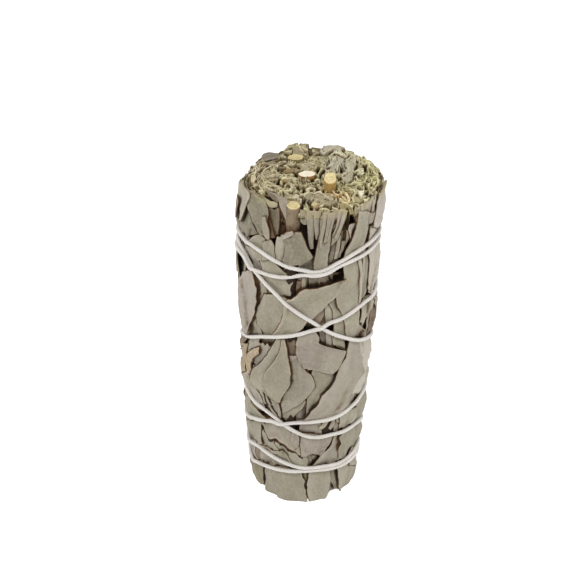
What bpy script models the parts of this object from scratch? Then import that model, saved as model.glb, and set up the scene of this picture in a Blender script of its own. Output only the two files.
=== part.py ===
"""A dried sage smudge stick: cut leaves and stems pressed into a tapering bundle and bound with one cotton string.

Metres, +Z up. The bundle stands on its trimmed lower end, with its front towards -Y. Angles run
round the bundle from the front, positive towards +X, and heights run up from the trimmed end.
"""

import math
import random

import bmesh
import bpy
import numpy as np

MM = 0.001
HEIGHT = 102.0
PROFILE_HEIGHTS = (0.0, 8.0, 20.0, 35.0, 50.0, 65.0, 80.0, 92.0, 102.0)
PROFILE_RADII = (15.6, 16.5, 17.5, 18.4, 19.2, 19.7, 20.1, 20.2, 19.7)
LEAN = 1.2  # how far the top's middle stands to the right of the foot's
CENTRE_X = 0.3  # these two put the middle of the outline on the Z axis
CENTRE_Y = 1.15
LEAF_DEPTH = 3.5  # depth of the loose outer leaves over the pressed packs
LEAF_THICK = 0.4
GAP = 0.3  # between packs and stems
LAY_GAP = 0.22  # between leaves laid on each other, over the sag of a flat face
STRING_RADIUS = 0.55
STRING_STEP = 3.0

# The front leaves are laid out on a view 576 units wide, seen from this point and along this slope.
VIEW_BACK, VIEW_UP, VIEW_RIGHT = 400.0, 319.0, -5.3
VIEW_SLOPE = math.radians(32.3)
VIEW_ZOOM = 1640.0
VIEW_MIDDLE = 288.0

random.seed(41)


def outer_radius(z):
    return np.interp(z, PROFILE_HEIGHTS, PROFILE_RADII)


def axis_x(z):
    return LEAN * (np.asarray(z) / HEIGHT - 0.5)


def placed(angle, z, r):
    """World position, in metres, of an angle in radians, a height and a radius in millimetres."""
    return (
        (axis_x(z) + CENTRE_X + r * math.sin(angle)) * MM,
        (CENTRE_Y - r * math.cos(angle)) * MM,
        z * MM,
    )


def sighted(x, y):
    """Angle, height and units per millimetre of the spot on the bundle's outside seen at (x, y)."""
    down = math.sin(VIEW_SLOPE)
    ahead = math.cos(VIEW_SLOPE)
    right, fall = (x - VIEW_MIDDLE) / VIEW_ZOOM, (y - VIEW_MIDDLE) / VIEW_ZOOM
    ray = np.array([right, ahead - fall * down, -down - fall * ahead])
    t = np.linspace(330.0, 540.0, 2101)
    at = np.array([VIEW_RIGHT, -VIEW_BACK, VIEW_UP]) + ray * t[:, None]
    z = at[:, 2]
    over = np.hypot(at[:, 0] - axis_x(z), at[:, 1]) - outer_radius(z)
    near = np.where((z < HEIGHT) & (z > 0.0), over, 99.0)
    first = int(np.argmax(near < 0.0)) if (near < 0.0).any() else int(np.argmin(near))
    spot = at[first]
    return math.atan2(spot[0] - axis_x(spot[2]), -spot[1]), float(spot[2]), VIEW_ZOOM / t[first]


# ---------------------------------------------------------------- the height of what is laid so far
CELL = 0.8
TURN_CELLS = 150
RISE_CELLS = int(HEIGHT / CELL) + 2


class Laid:
    """The radius that the pieces laid so far reach, by angle and height."""

    def __init__(self):
        heights = np.arange(RISE_CELLS) * CELL
        self.top = np.tile(outer_radius(heights) - LEAF_DEPTH, (TURN_CELLS, 1))

    def cells(self, points, wider):
        """Cells within wider millimetres of a flat figure given by its (angle, height) corners."""
        points = np.asarray(points)
        mid = points[:, 0].mean()
        r = 18.5
        flat = np.c_[(points[:, 0] - mid) * r, points[:, 1]]
        low, high = flat.min(axis=0) - wider, flat.max(axis=0) + wider
        step = 2 * math.pi / TURN_CELLS
        a = np.arange(math.floor((low[0] / r + mid) / step), math.ceil((high[0] / r + mid) / step) + 1)
        b = np.arange(max(0, math.floor(low[1] / CELL)), min(RISE_CELLS - 1, math.ceil(high[1] / CELL)) + 1)
        ga, gb = np.meshgrid(a, b, indexing="ij")
        pa, pb = (ga * step - mid) * r, gb * CELL
        keep = np.ones(pa.shape, bool)
        n = len(flat)
        area = sum(flat[i, 0] * flat[(i + 1) % n, 1] - flat[(i + 1) % n, 0] * flat[i, 1] for i in range(n))
        turn = 1.0 if area > 0 else -1.0
        for i in range(n):
            p, q = flat[i], flat[(i + 1) % n]
            edge = q - p
            size = math.hypot(*edge)
            if size < 1e-6:
                continue
            keep &= turn * (edge[0] * (pb - p[1]) - edge[1] * (pa - p[0])) / size > -wider
        return ga[keep] % TURN_CELLS, gb[keep]

    def reach(self, points, wider):
        a, b = self.cells(points, wider)
        return float(self.top[a, b].max()) if len(a) else 0.0

    def raise_to(self, points, wider, radius):
        a, b = self.cells(points, wider)
        self.top[a, b] = np.maximum(self.top[a, b], radius)


laid = Laid()


# ------------------------------------------------------------------------------- scene and materials
for old in list(bpy.data.objects):
    bpy.data.objects.remove(old, do_unlink=True)
home = bpy.data.collections.new("SageSmudgeStick")
bpy.context.scene.collection.children.link(home)


def principled(name, colour, roughness):
    material = bpy.data.materials.new(name)
    material.use_nodes = True
    shader = material.node_tree.nodes["Principled BSDF"]
    shader.inputs["Base Color"].default_value = (*colour, 1.0)
    shader.inputs["Roughness"].default_value = roughness
    material.diffuse_color = (*colour, 1.0)
    return material


def add(name, mesh, colour, roughness=0.9):
    obj = bpy.data.objects.new(name, mesh)
    home.objects.link(obj)
    mesh.materials.append(principled(name, colour, roughness))
    return obj


# ------------------------------------------------------------------------------------- leaves outside
def leaf(name, stations, tint=0.0, across=3, along=None):
    """A leaf laid over what is there: stations are (angle, height, half width) from one end to the other."""
    stations = np.array(stations, float)
    radius = 18.8
    path = np.c_[stations[:, 0] * radius, stations[:, 1]]
    run = np.r_[0.0, np.cumsum(np.hypot(*np.diff(path, axis=0).T))]
    along = along or max(3, round(run[-1] / 4.2))
    u = np.linspace(0.0, run[-1], along + 1)
    spine = np.c_[np.interp(u, run, path[:, 0]), np.interp(u, run, path[:, 1])]
    half = np.interp(u, run, stations[:, 2])
    way = np.gradient(spine, axis=0)
    way /= np.hypot(way[:, 0], way[:, 1])[:, None]
    side = np.c_[way[:, 1], -way[:, 0]]

    bm = bmesh.new()
    bmesh.ops.create_grid(bm, x_segments=across, y_segments=along, size=1.0)
    flat = {}
    for vert in bm.verts:
        i = round((vert.co.y + 1) / 2 * along)
        v = vert.co.x
        spot = spine[i] + side[i] * v * half[i]
        flat[vert] = (spot[0] / radius, min(max(spot[1], 0.35), HEIGHT - 0.5))
    bmesh.ops.triangulate(bm, faces=bm.faces)
    lift = {vert: 0.0 for vert in bm.verts}
    for face in bm.faces:
        need = laid.reach([flat[v] for v in face.verts], 0.85)
        for vert in face.verts:
            lift[vert] = max(lift[vert], need)
    for vert in bm.verts:
        lift[vert] = lift[vert] / math.cos(0.07) + LAY_GAP
    for face in bm.faces:
        laid.raise_to([flat[v] for v in face.verts], 0.55, max(lift[v] for v in face.verts) + LEAF_THICK * 1.15)
    for vert in bm.verts:
        vert.co = placed(*flat[vert], lift[vert])
    bmesh.ops.recalc_face_normals(bm, faces=bm.faces)
    outward = sum(f.normal.dot(f.calc_center_median() * 1.0) - f.normal.z * f.calc_center_median().z for f in bm.faces)
    if outward < 0:
        bmesh.ops.reverse_faces(bm, faces=bm.faces)
    mesh = bpy.data.meshes.new(name)
    bm.to_mesh(mesh)
    bm.free()
    shade = 0.36 + tint
    obj = add(name, mesh, (shade, shade * 0.93, shade * 0.76))
    thick = obj.modifiers.new("Thickness", "SOLIDIFY")
    thick.thickness = LEAF_THICK * MM
    thick.offset = 1.0
    thick.use_even_offset = False
    return obj


def seen_leaf(name, stations, **more):
    """A front leaf: its stations are (x, y, half width) on the view."""
    turned = []
    for x, y, half in stations:
        angle, z, scale = sighted(x, y)
        turned.append((angle, z, half / scale / max(math.cos(angle), 0.5)))
    return leaf(name, turned, **more)


SEEN = (
    # the lowest leaves first, each lying on those before it
    ("leaf_right_outer", ((377, 186, 6), (376, 215, 6), (373, 246, 6), (370, 270, 6), (367, 296, 5))),
    ("leaf_right_smooth", ((366, 205, 5), (358, 238, 7), (352, 262, 8), (352, 300, 9), (350, 333, 7))),
    ("leaf_fan_left", ((303, 217, 6), (305, 238, 6), (311, 258, 4))),
    ("leaf_fan_right", ((338, 216, 7), (335, 240, 7), (329, 262, 4))),
    ("leaf_fan_middle", ((321, 217, 7), (321, 240, 6), (320, 262, 4))),
    ("leaf_left_edge", ((245, 192, 5), (246, 212, 6), (248, 235, 4))),
    ("leaf_left_tall", ((264, 200, 11), (266, 216, 10), (268, 233, 5))),
    ("leaf_round", ((262, 236, 8), (262, 246, 11), (263, 262, 8))),
    ("leaf_narrow", ((280, 240, 5), (281, 252, 5), (283, 264, 4))),
    ("leaf_pentagon", ((297, 233, 7), (298, 244, 12), (298, 256, 11), (296, 265, 5))),
    ("leaf_left_long", ((246, 272, 6), (248, 300, 8), (249, 332, 7))),
    ("leaf_fold_brown", ((330, 304, 9), (327, 326, 8), (322, 346, 6))),
    ("leaf_right_narrow", ((371, 300, 4), (369, 318, 5), (366, 340, 5))),
    ("leaf_oval", ((268, 291, 6), (271, 306, 11), (270, 320, 11), (266, 333, 6))),
    ("leaf_small_upper", ((267, 281, 5), (279, 286, 7), (291, 292, 5))),
    ("leaf_diagonal", ((344, 281, 2), (323, 297, 9), (300, 312, 13), (280, 328, 7))),
    ("leaf_square", ((306, 350, 9), (321, 356, 11), (337, 362, 9))),
    ("leaf_right_lower", ((363, 350, 6), (360, 375, 8), (357, 400, 7))),
    ("leaf_long_green", ((320, 372, 9), (320, 390, 10), (321, 416, 9))),
    ("leaf_long_smooth", ((354, 344, 6), (346, 368, 10), (329, 396, 11), (311, 416, 5))),
    ("leaf_pink", ((299, 358, 6), (297, 380, 12), (292, 404, 8))),
    ("leaf_left_pale", ((252, 348, 5), (252, 375, 7), (253, 403, 6))),
    ("leaf_torn_middle", ((271, 384, 7), (271, 400, 9), (272, 415, 6))),
    ("leaf_diamond", ((279, 343, 2), (271, 366, 14), (277, 394, 3))),
    ("leaf_torn_lower", ((268, 426, 7), (280, 437, 11), (292, 446, 8))),
    ("leaf_left_lower", ((254, 418, 5), (255, 432, 7), (257, 447, 6))),
    ("leaf_right_panel", ((351, 414, 6), (349, 432, 8), (346, 454, 8))),
    ("leaf_middle_panel", ((330, 438, 8), (329, 450, 9), (329, 462, 8))),
    ("leaf_foot_left", ((258, 458, 6), (260, 470, 7), (262, 481, 5))),
    ("leaf_foot_wide", ((288, 472, 14), (289, 485, 15), (290, 496, 12))),
    ("leaf_foot_middle", ((318, 472, 7), (318, 485, 7), (318, 497, 6))),
    ("leaf_foot_right", ((346, 464, 7), (345, 476, 7), (343, 486, 6))),
)
for n, (name, stations) in enumerate(SEEN):
    seen_leaf(name, stations, tint=random.uniform(-0.03, 0.03))

# The sides and the back carry long leaves, every other one starting higher up.
BACK_LEAVES = 9
for n in range(BACK_LEAVES):
    turn = math.radians(98 + 164 * (n + 0.5) / BACK_LEAVES)
    upper = n % 2 == 0
    low, high = (48.0, 98.0) if upper else (3.0, 56.0)
    low += random.uniform(-3, 3) if upper else 0.0
    high += random.uniform(-4, 3)
    slant = math.radians(random.uniform(-7, 7))
    leaf(
        f"leaf_back_{n + 1}",
        [(turn + slant * (t - 0.5), low + (high - low) * t, 5.2 * (1 - 0.75 * abs(2 * t - 1) ** 2.2)) for t in np.linspace(0, 1, 7)],
        tint=random.uniform(-0.03, 0.03),
        along=10,
    )

# --------------------------------------------------------------------------- pressed packs and stems
# Middles of the stems and packs at the top, from the bundle's axis, in millimetres.
STEMS = (
    ("stem_back", -5.1, 12.2, 2.1, 102.6, 0.10),
    ("stem_thick", -1.8, 2.6, 2.2, 102.8, 0.15),
    ("stem_slanted", 4.6, -4.6, 1.7, 104.4, 0.50),
    ("stem_front", -5.4, -14.0, 1.6, 103.2, 0.10),
    ("stem_pale", 0.6, -13.2, 0.9, 102.4, 0.20),
    ("stem_petiole", -8.6, 6.0, 1.2, 102.8, 0.25),
)
PACKS = (
    (-13.2, 0.2), (-10.8, -9.0), (-12.2, 9.8), (-5.6, -4.4), (-2.4, -9.6), (-3.6, 7.6),
    (2.2, 11.6), (10.6, 9.2), (13.2, -1.4), (4.4, 2.4), (9.2, -11.4), (2.4, -15.0),
)
LEVELS = (0.0, 16.0, 40.0, 68.0, 100.0)


def inner_radius(z):
    return outer_radius(z) - LEAF_DEPTH


def clipped(polygon, normal, limit):
    """The part of a flat polygon where normal . point <= limit."""
    kept = []
    for i, p in enumerate(polygon):
        q = polygon[(i + 1) % len(polygon)]
        dp, dq = float(np.dot(normal, p)) - limit, float(np.dot(normal, q)) - limit
        if dp <= 0:
            kept.append(p)
        if dp * dq < 0:
            kept.append(p + (q - p) * (dp / (dp - dq)))
    return kept


def ground(index, rim):
    """The flat area nearest to one pack's middle, clear of its neighbours and of the stems beside it."""
    polygon = [np.array([rim * math.cos(a), rim * math.sin(a)]) for a in np.linspace(0, 2 * math.pi, 28, endpoint=False)]
    here = np.array(PACKS[index])
    for k, other in enumerate(PACKS):
        if k != index:
            away = np.array(other) - here
            size = float(np.hypot(*away))
            middle = (here + other) / 2
            polygon = clipped(polygon, away / size, float(np.dot(away / size, middle)) - GAP * 0.75)
    for _, x, y, r, *_ in STEMS:
        away = np.array([x, y]) - here
        size = float(np.hypot(*away))
        polygon = clipped(polygon, away / size, float(np.dot(away / size, (x, y))) - r - GAP)
    return [p for i, p in enumerate(polygon) if np.hypot(*(p - polygon[i - 1])) > 0.4]


def raised(name, sections, tilt, colour):
    """A solid through flat sections, bottom to top: each is (points in millimetres, height)."""
    bm = bmesh.new()

    def spots(points, z, top=False):
        middle = np.mean(points, axis=0)
        return [
            (
                (p[0] + axis_x(z) + CENTRE_X) * MM,
                (p[1] + CENTRE_Y) * MM,
                (z + (float(np.dot(tilt, p - middle)) if top else 0.0)) * MM,
            )
            for p in points
        ]

    ring = [bm.verts.new(spot) for spot in spots(*sections[0])]
    bm.faces.new(ring)
    edges = [bm.edges.get((ring[i - 1], ring[i])) for i in range(len(ring))]
    for points, z in sections[1:]:
        made = bmesh.ops.extrude_edge_only(bm, edges=edges)["geom"]
        fresh = [g for g in made if isinstance(g, bmesh.types.BMVert)]
        edges = [g for g in made if isinstance(g, bmesh.types.BMEdge)]
        ring = [min(fresh, key=lambda v: (v.co - old.co).length) for old in ring]
        for vert, spot in zip(ring, spots(points, z, z == sections[-1][1])):
            vert.co = spot
    bm.faces.new(ring)
    bmesh.ops.recalc_face_normals(bm, faces=bm.faces)
    mesh = bpy.data.meshes.new(name)
    bm.to_mesh(mesh)
    bm.free()
    return add(name, mesh, colour)


top_scale = inner_radius(LEVELS[-1])
for name, x, y, r, z_top, slant in STEMS:
    sections = []
    for z in (6.0, 30.0, 65.0, z_top):
        share = float(inner_radius(min(z, 100.0)) / top_scale)
        size = r * (0.93 * share if z < 99 else 0.97)
        sections.append(([np.array([x * share + size * math.cos(a), y * share + size * math.sin(a)]) for a in np.linspace(0, 2 * math.pi, 10, endpoint=False)], z))
    raised(name, sections, np.array([0.2, 1.0]) * slant, (0.62, 0.52, 0.36))

for k in range(len(PACKS)):
    area = ground(k, top_scale)
    sections = []
    foot = 0.0 if k % 3 != 1 else 0.8
    for z in LEVELS:
        share = float(inner_radius(z) / top_scale)
        rise = random.uniform(-1.0, 1.2) if z == LEVELS[-1] else 0.0
        sections.append(([p * share for p in area], foot if z == 0.0 else z + rise))
    raised(f"pack_{k + 1}", sections, np.array([random.uniform(-0.04, 0.04), random.uniform(-0.04, 0.04)]), (0.33, 0.31, 0.25))

# ------------------------------------------------------------------------------------ binding string
# One strand, from its start behind the foot: front passes as (angle in degrees, height), right to left.
PASSES = (
    ((66, 14.2), (40, 14.6), (18, 15.0), (2, 15.2), (-11, 15.6), (-24, 17.1), (-38, 18.4), (-57, 18.1), (-76, 17.2)),
    ((75, 26.7), (50, 25.2), (29, 25.5), (10, 25.9), (-5, 27.1), (-20, 29.4), (-37, 32.2), (-52, 33.2), (-68, 34.0), (-84, 37.5)),
    ((76, 54.0), (51, 57.0), (40, 58.6), (23, 62.1), (12, 65.4), (-6, 69.6), (-19, 72.8), (-31, 75.2), (-46, 77.2), (-56, 78.6), (-68, 81.0), (-82, 83.4)),
    ((74, 92.8), (52, 89.0), (36, 87.7), (18, 86.0), (6, 84.6), (-10, 84.9), (-24, 85.6), (-38, 86.6), (-57, 87.6), (-82, 88.2)),
    ((72, 85.2), (56, 85.5), (40, 85.3), (24, 84.6), (11, 83.3), (0, 82.3), (-13, 81.6), (-33, 80.5), (-51, 80.6), (-68, 83.1), (-82, 85.6)),
    ((78, 73.0), (70, 71.3), (56, 70.3), (44, 68.4), (30, 67.4), (12, 65.6), (0, 64.6), (-17, 62.7), (-35, 60.4), (-57, 56.1), (-80, 52.5)),
    ((76, 38.6), (51, 35.9), (37, 34.1), (21, 33.2), (5, 31.9), (-11, 30.7), (-30, 29.6), (-55, 27.9), (-77, 25.2)),
    ((62, 11.8), (40, 12.7), (25, 13.2), (8, 12.9), (-11, 12.7), (-28, 12.2), (-43, 11.6), (-66, 9.8)),
)
route = [(160.0, 14.6), (120.0, 14.8)]
for n, front in enumerate(PASSES):
    route += [(angle - 360.0 * n, z) for angle, z in front]
last = 360.0 * (len(PASSES) - 1)
route += [(-110.0 - last, 10.6), (-150.0 - last, 11.0), (-190.0 - last, 11.4), (-215.0 - last, 11.6)]
angles = np.radians([a for a, _ in route])
levels = np.array([z for _, z in route])


def smooth(at, known, values):
    """A cubic through the known values whose slopes never overshoot."""
    step = np.diff(known)
    rate = np.diff(values) / step
    slope = np.zeros(len(known))
    slope[0], slope[-1] = rate[0], rate[-1]
    inner = rate[:-1] * rate[1:] > 0
    slope[1:-1] = np.where(inner, 0.5 * (rate[:-1] + rate[1:]), 0.25 * (rate[:-1] + rate[1:]))
    i = np.clip(np.searchsorted(known, at) - 1, 0, len(step) - 1)
    t = (at - known[i]) / step[i]
    return (
        (2 * t**3 - 3 * t**2 + 1) * values[i]
        + (t**3 - 2 * t**2 + t) * step[i] * slope[i]
        + (3 * t**2 - 2 * t**3) * values[i + 1]
        + (t**3 - t**2) * step[i] * slope[i + 1]
    )


along = -angles  # rises all the way
length = (along[-1] - along[0]) * 19.0
count = int(length / STRING_STEP)
place = np.linspace(along[0], along[-1], count + 1)
rise = smooth(place, along, levels)
need = np.zeros(count + 1)
taut = np.zeros(count + 1)


def segment(i):
    return [(-place[i], rise[i]), (-place[i + 1], rise[i + 1]), (-place[i + 1], rise[i + 1] + 0.01), (-place[i], rise[i] + 0.01)]


HELD_BACK = 4  # segments of a turn that the next turn's first segments may still lie beside
per_turn = int(2 * math.pi * count / (along[-1] - along[0]))
done = 0
for first in range(0, count, per_turn):
    after = min(first + per_turn, count)
    for i in range(first, after):
        reach = laid.reach(segment(i), STRING_RADIUS + 0.45)
        need[i] = max(need[i], reach)
        need[i + 1] = max(need[i + 1], reach)
    wide = [need[max(0, i - 2) : min(i + 3, after + 1)].max() for i in range(first, after + 1)]
    start = 0 if first == 0 else 1
    for k in range(start, after - first + 1):
        near = wide[max(0, k - 2) : k + 3]
        taut[first + k] = sum(near) / len(near)
    until = count if after == count else after - HELD_BACK
    for i in range(done, until):
        top = max(taut[i], taut[i + 1]) + LAY_GAP + 0.12 + 2 * STRING_RADIUS
        laid.raise_to(segment(i), STRING_RADIUS + 0.3, top)
    done = until
radii = taut + LAY_GAP + 0.12 + STRING_RADIUS

curve = bpy.data.curves.new("string", "CURVE")
curve.dimensions = "3D"
curve.bevel_depth = STRING_RADIUS * MM
curve.bevel_resolution = 2
curve.use_fill_caps = True
strand = curve.splines.new("POLY")
strand.points.add(count)
for point, a, z, r in zip(strand.points, place, rise, radii):
    point.co = (*placed(-a, z, r), 1.0)
string = bpy.data.objects.new("string", curve)
home.objects.link(string)
curve.materials.append(principled("string", (0.80, 0.79, 0.76), 0.85))
total = sum(math.dist(strand.points[i].co[:3], strand.points[i + 1].co[:3]) for i in range(count))
print(f"string length {total * 1000:.0f} mm, {count} steps")
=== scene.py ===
import math
import random

import bmesh
import bpy
import numpy as np
from mathutils.bvhtree import BVHTree
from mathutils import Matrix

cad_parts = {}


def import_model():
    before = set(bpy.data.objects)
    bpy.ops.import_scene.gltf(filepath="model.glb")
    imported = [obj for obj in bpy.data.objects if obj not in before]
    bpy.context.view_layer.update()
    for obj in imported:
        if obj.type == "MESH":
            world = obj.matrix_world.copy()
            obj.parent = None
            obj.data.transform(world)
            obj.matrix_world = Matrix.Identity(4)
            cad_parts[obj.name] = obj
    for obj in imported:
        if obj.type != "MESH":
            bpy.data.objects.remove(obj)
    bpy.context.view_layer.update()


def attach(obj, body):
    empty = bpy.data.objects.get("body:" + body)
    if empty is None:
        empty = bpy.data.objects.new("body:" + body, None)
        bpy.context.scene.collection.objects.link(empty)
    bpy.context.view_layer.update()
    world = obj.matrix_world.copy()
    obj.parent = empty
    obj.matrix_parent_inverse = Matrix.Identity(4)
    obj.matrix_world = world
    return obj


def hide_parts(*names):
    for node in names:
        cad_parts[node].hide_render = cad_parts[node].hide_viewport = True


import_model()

random.seed(7)
MM = 0.001

# ------------------------------------------------------------------ the bundle's shape, as in the part
HEIGHT = 102.0
PROFILE_HEIGHTS = (0.0, 8.0, 20.0, 35.0, 50.0, 65.0, 80.0, 92.0, 102.0)
PROFILE_RADII = (15.6, 16.5, 17.5, 18.4, 19.2, 19.7, 20.1, 20.2, 19.7)
LEAN = 1.2
CENTRE_X = 0.3
CENTRE_Y = 1.15
LEAF_DEPTH = 3.5
STRING_RADIUS = 0.56

VIEW_BACK, VIEW_UP, VIEW_RIGHT = 400.0, 319.0, -5.3
VIEW_SLOPE = math.radians(32.3)
VIEW_ZOOM = 1640.0
VIEW_MIDDLE = 288.0


# The outline round the top, and that of the cut face: degrees from the front, millimetres from the axis.
TOP_LINE = (
    (-180, 20.3), (-170, 20.4), (-159, 19.4), (-136, 19.5), (-120, 18.9), (-109, 18.5), (-92, 18.9), (-80, 18.7), (-62, 17.8), (-50, 17.4), (-36, 17.6),
    (-25, 18.1), (-8, 18.9), (5, 19.5), (27, 19.8), (49, 20.1), (70, 20.9), (89, 21.5), (108, 21.2), (124, 20.9), (137, 20.1), (154, 20.0), (170, 19.7), (180, 20.3),
)
RIM_LINE = (
    (-180, 19.7), (-170, 20.1), (-159, 18.9), (-136, 18.9), (-120, 18.2), (-109, 17.5), (-92, 16.6), (-80, 16.1), (-62, 15.9), (-50, 15.9), (-36, 16.4),
    (-25, 17.0), (-8, 18.3), (5, 19.2), (27, 19.4), (49, 19.6), (70, 19.8), (89, 19.8), (108, 20.0), (124, 20.3), (137, 19.6), (154, 19.5), (170, 19.2), (180, 19.7),
)


def by_turn(table, angle):
    turn = (np.degrees(angle) + 180.0) % 360.0 - 180.0
    return np.interp(turn, [t for t, _ in table], [r for _, r in table])


def lean_in(angle, z):
    """How far the outside leans in towards the top, or flares out where this is below zero."""
    return (19.73 - by_turn(TOP_LINE, angle)) * step_up(z, 84.0, 100.5)


def outer_radius(z):
    return np.interp(z, PROFILE_HEIGHTS, PROFILE_RADII)


def inner_radius(z):
    return outer_radius(z) - LEAF_DEPTH


def axis_x(z):
    return LEAN * (np.asarray(z) / HEIGHT - 0.5)


def sighted(x, y, depth=0.0, ceiling=HEIGHT):
    """Angle and height of the spot seen at (x, y), that many millimetres below the bundle's outside."""
    down, ahead = math.sin(VIEW_SLOPE), math.cos(VIEW_SLOPE)
    right, fall = (x - VIEW_MIDDLE) / VIEW_ZOOM, (y - VIEW_MIDDLE) / VIEW_ZOOM
    ray = np.array([right, ahead - fall * down, -down - fall * ahead])
    t = np.linspace(330.0, 540.0, 2101)
    at = np.array([VIEW_RIGHT, -VIEW_BACK, VIEW_UP]) + ray * t[:, None]
    z = at[:, 2]
    turn = np.arctan2(at[:, 0] - axis_x(z), -at[:, 1])
    over = np.hypot(at[:, 0] - axis_x(z), at[:, 1]) - outer_radius(z) + lean_in(turn, z) + depth
    near = np.where((z < ceiling) & (z > 0.0), over, 99.0)
    first = int(np.argmax(near < 0.0)) if (near < 0.0).any() else int(np.argmin(near))
    spot = at[first]
    return math.atan2(spot[0] - axis_x(spot[2]), -spot[1]), float(spot[2])


def world(angle, z, r):
    return np.stack(
        [
            (axis_x(z) + CENTRE_X + r * np.sin(angle)) * MM,
            (CENTRE_Y - r * np.cos(angle)) * MM,
            z * MM,
        ],
        axis=-1,
    )


# ------------------------------------------------------------------------------------------- noise
def lattice(ix, iy, iz, seed):
    h = (ix * 374761393 + iy * 668265263 + iz * 2147483647 + seed * 1274126177) & 0xFFFFFFFF
    h = ((h ^ (h >> 13)) * 1274126177) & 0xFFFFFFFF
    return ((h ^ (h >> 16)) & 0xFFFFFF) / float(0xFFFFFF)


def noise(x, y, z=0.0, seed=0):
    """Smooth noise from -1 to 1."""
    x, y, z = np.broadcast_arrays(np.asarray(x, float), np.asarray(y, float), np.asarray(z, float))
    ix, iy, iz = (np.floor(v).astype(np.int64) for v in (x, y, z))
    fx, fy, fz = x - ix, y - iy, z - iz
    fx, fy, fz = (v * v * v * (v * (v * 6 - 15) + 10) for v in (fx, fy, fz))
    total = 0.0
    for dx in (0, 1):
        for dy in (0, 1):
            for dz in (0, 1):
                weight = (fx if dx else 1 - fx) * (fy if dy else 1 - fy) * (fz if dz else 1 - fz)
                total = total + weight * lattice(ix + dx, iy + dy, iz + dz, seed)
    return total * 2 - 1


def fractal(x, y, z=0.0, seed=0, octaves=3):
    total, size = 0.0, 1.0
    for k in range(octaves):
        total = total + noise(x * 2**k, y * 2**k, np.asarray(z) * 2**k, seed + k) * size
        size *= 0.5
    return total


def step_up(x, low, high):
    t = np.clip((x - low) / (high - low), 0.0, 1.0)
    return t * t * (3 - 2 * t)


def smooth(at, known, values):
    """A cubic through the known values."""
    known, values = np.asarray(known, float), np.asarray(values, float)
    step = np.diff(known)
    rate = np.diff(values) / step
    slope = np.zeros(len(known))
    slope[0], slope[-1] = rate[0], rate[-1]
    slope[1:-1] = np.where(rate[:-1] * rate[1:] > 0, 0.5, 0.25) * (rate[:-1] + rate[1:])
    i = np.clip(np.searchsorted(known, at) - 1, 0, len(step) - 1)
    t = (at - known[i]) / step[i]
    return (
        (2 * t**3 - 3 * t**2 + 1) * values[i]
        + (t**3 - 2 * t**2 + t) * step[i] * slope[i]
        + (3 * t**2 - 2 * t**3) * values[i + 1]
        + (t**3 - t**2) * step[i] * slope[i + 1]
    )


# ------------------------------------------------------------------------------ the string's route
# The front passes as they are seen, right to left, from the first turn to the last.
STRING_DEPTH = 0.5
SEEN_PASSES = (
    ((350, 454), (340, 461.5), (320, 466), (300, 466), (290, 463.5), (280, 459.5), (270, 453.5), (260, 445.5), (250, 436)),
    ((361.3, 414.3), (355.1, 423.1), (344.6, 430.1), (330, 434.5), (320, 436.8), (307.6, 436.3), (295.3, 431.5), (284.8, 425.5), (276, 418.7), (263.7, 409), (253.1, 398.5)),
    ((358.6, 339.6), (344.6, 337.8), (330.5, 333.4), (320.8, 328.1), (312.9, 322.9), (295.3, 310.8), (284.8, 302), (276, 294.1), (265.4, 284.5), (256.7, 274.8), (249.6, 266), (243.5, 256.3)),
    ((369.2, 242.6), (362.1, 248.4), (353.4, 254.6), (344.6, 260.2), (335.8, 264.8), (327, 269.5), (319.9, 272.1), (312.9, 272.7), (304.1, 271.3), (295.3, 269.5), (286.5, 266.9), (277.7, 262.8), (269, 257.7), (260.2, 251.9), (251.4, 246.1), (244.3, 241.4)),
    ((365.7, 253.2), (355.1, 259.5), (344.6, 264.8), (334, 269.5), (323.5, 273), (312.9, 275.1), (300.6, 277.1), (290, 278.3), (279.5, 278.5), (270.7, 277.1), (262.8, 274.8), (256.7, 271.3), (249.6, 264.5), (243.5, 255)),
    ((371, 294.1), (362.1, 303.8), (353.4, 311.7), (339.3, 320.7), (330.5, 323.7), (320, 327.8), (304.1, 332.5), (291.8, 335.2), (277.7, 336.4), (260.2, 337.3), (247.9, 336.6)),
    ((356.9, 400.2), (350, 406.5), (340, 413), (330, 418), (320, 421), (310, 423), (300, 424), (290, 424), (280, 422.5), (270, 420.5), (260, 418.5), (250, 415)),
    ((340, 464), (320, 468.7), (310, 469.5), (300, 470), (290, 470), (280, 468.5), (270, 465.5), (260, 461), (255, 458.5)),
)
PASSES = [[(math.degrees(a), z) for a, z in (sighted(x, y, STRING_DEPTH) for x, y in line)] for line in SEEN_PASSES]
route = [(160.0, 14.6), (120.0, 14.8)]
for n, front in enumerate(PASSES):
    route += [(angle - 360.0 * n, z) for angle, z in front]
last = 360.0 * (len(PASSES) - 1)
route += [(-110.0 - last, 10.6), (-150.0 - last, 11.0), (-190.0 - last, 11.4), (-215.0 - last, 11.6)]
route_turn = -np.radians([a for a, _ in route])
route_z = np.array([z for _, z in route])
STRING_STEP = 0.5
string_count = int((route_turn[-1] - route_turn[0]) * 19.0 / STRING_STEP)
string_turn = np.linspace(route_turn[0], route_turn[-1], string_count)
string_z = smooth(string_turn, route_turn, route_z)
string_angle = -string_turn


# ----------------------------------------------------------------------- what is laid, by angle and height
TURN = 400
DZ = 0.3
LOW = -1.5
ROWS = int(111 / DZ)
DA = 2 * math.pi / TURN


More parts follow.
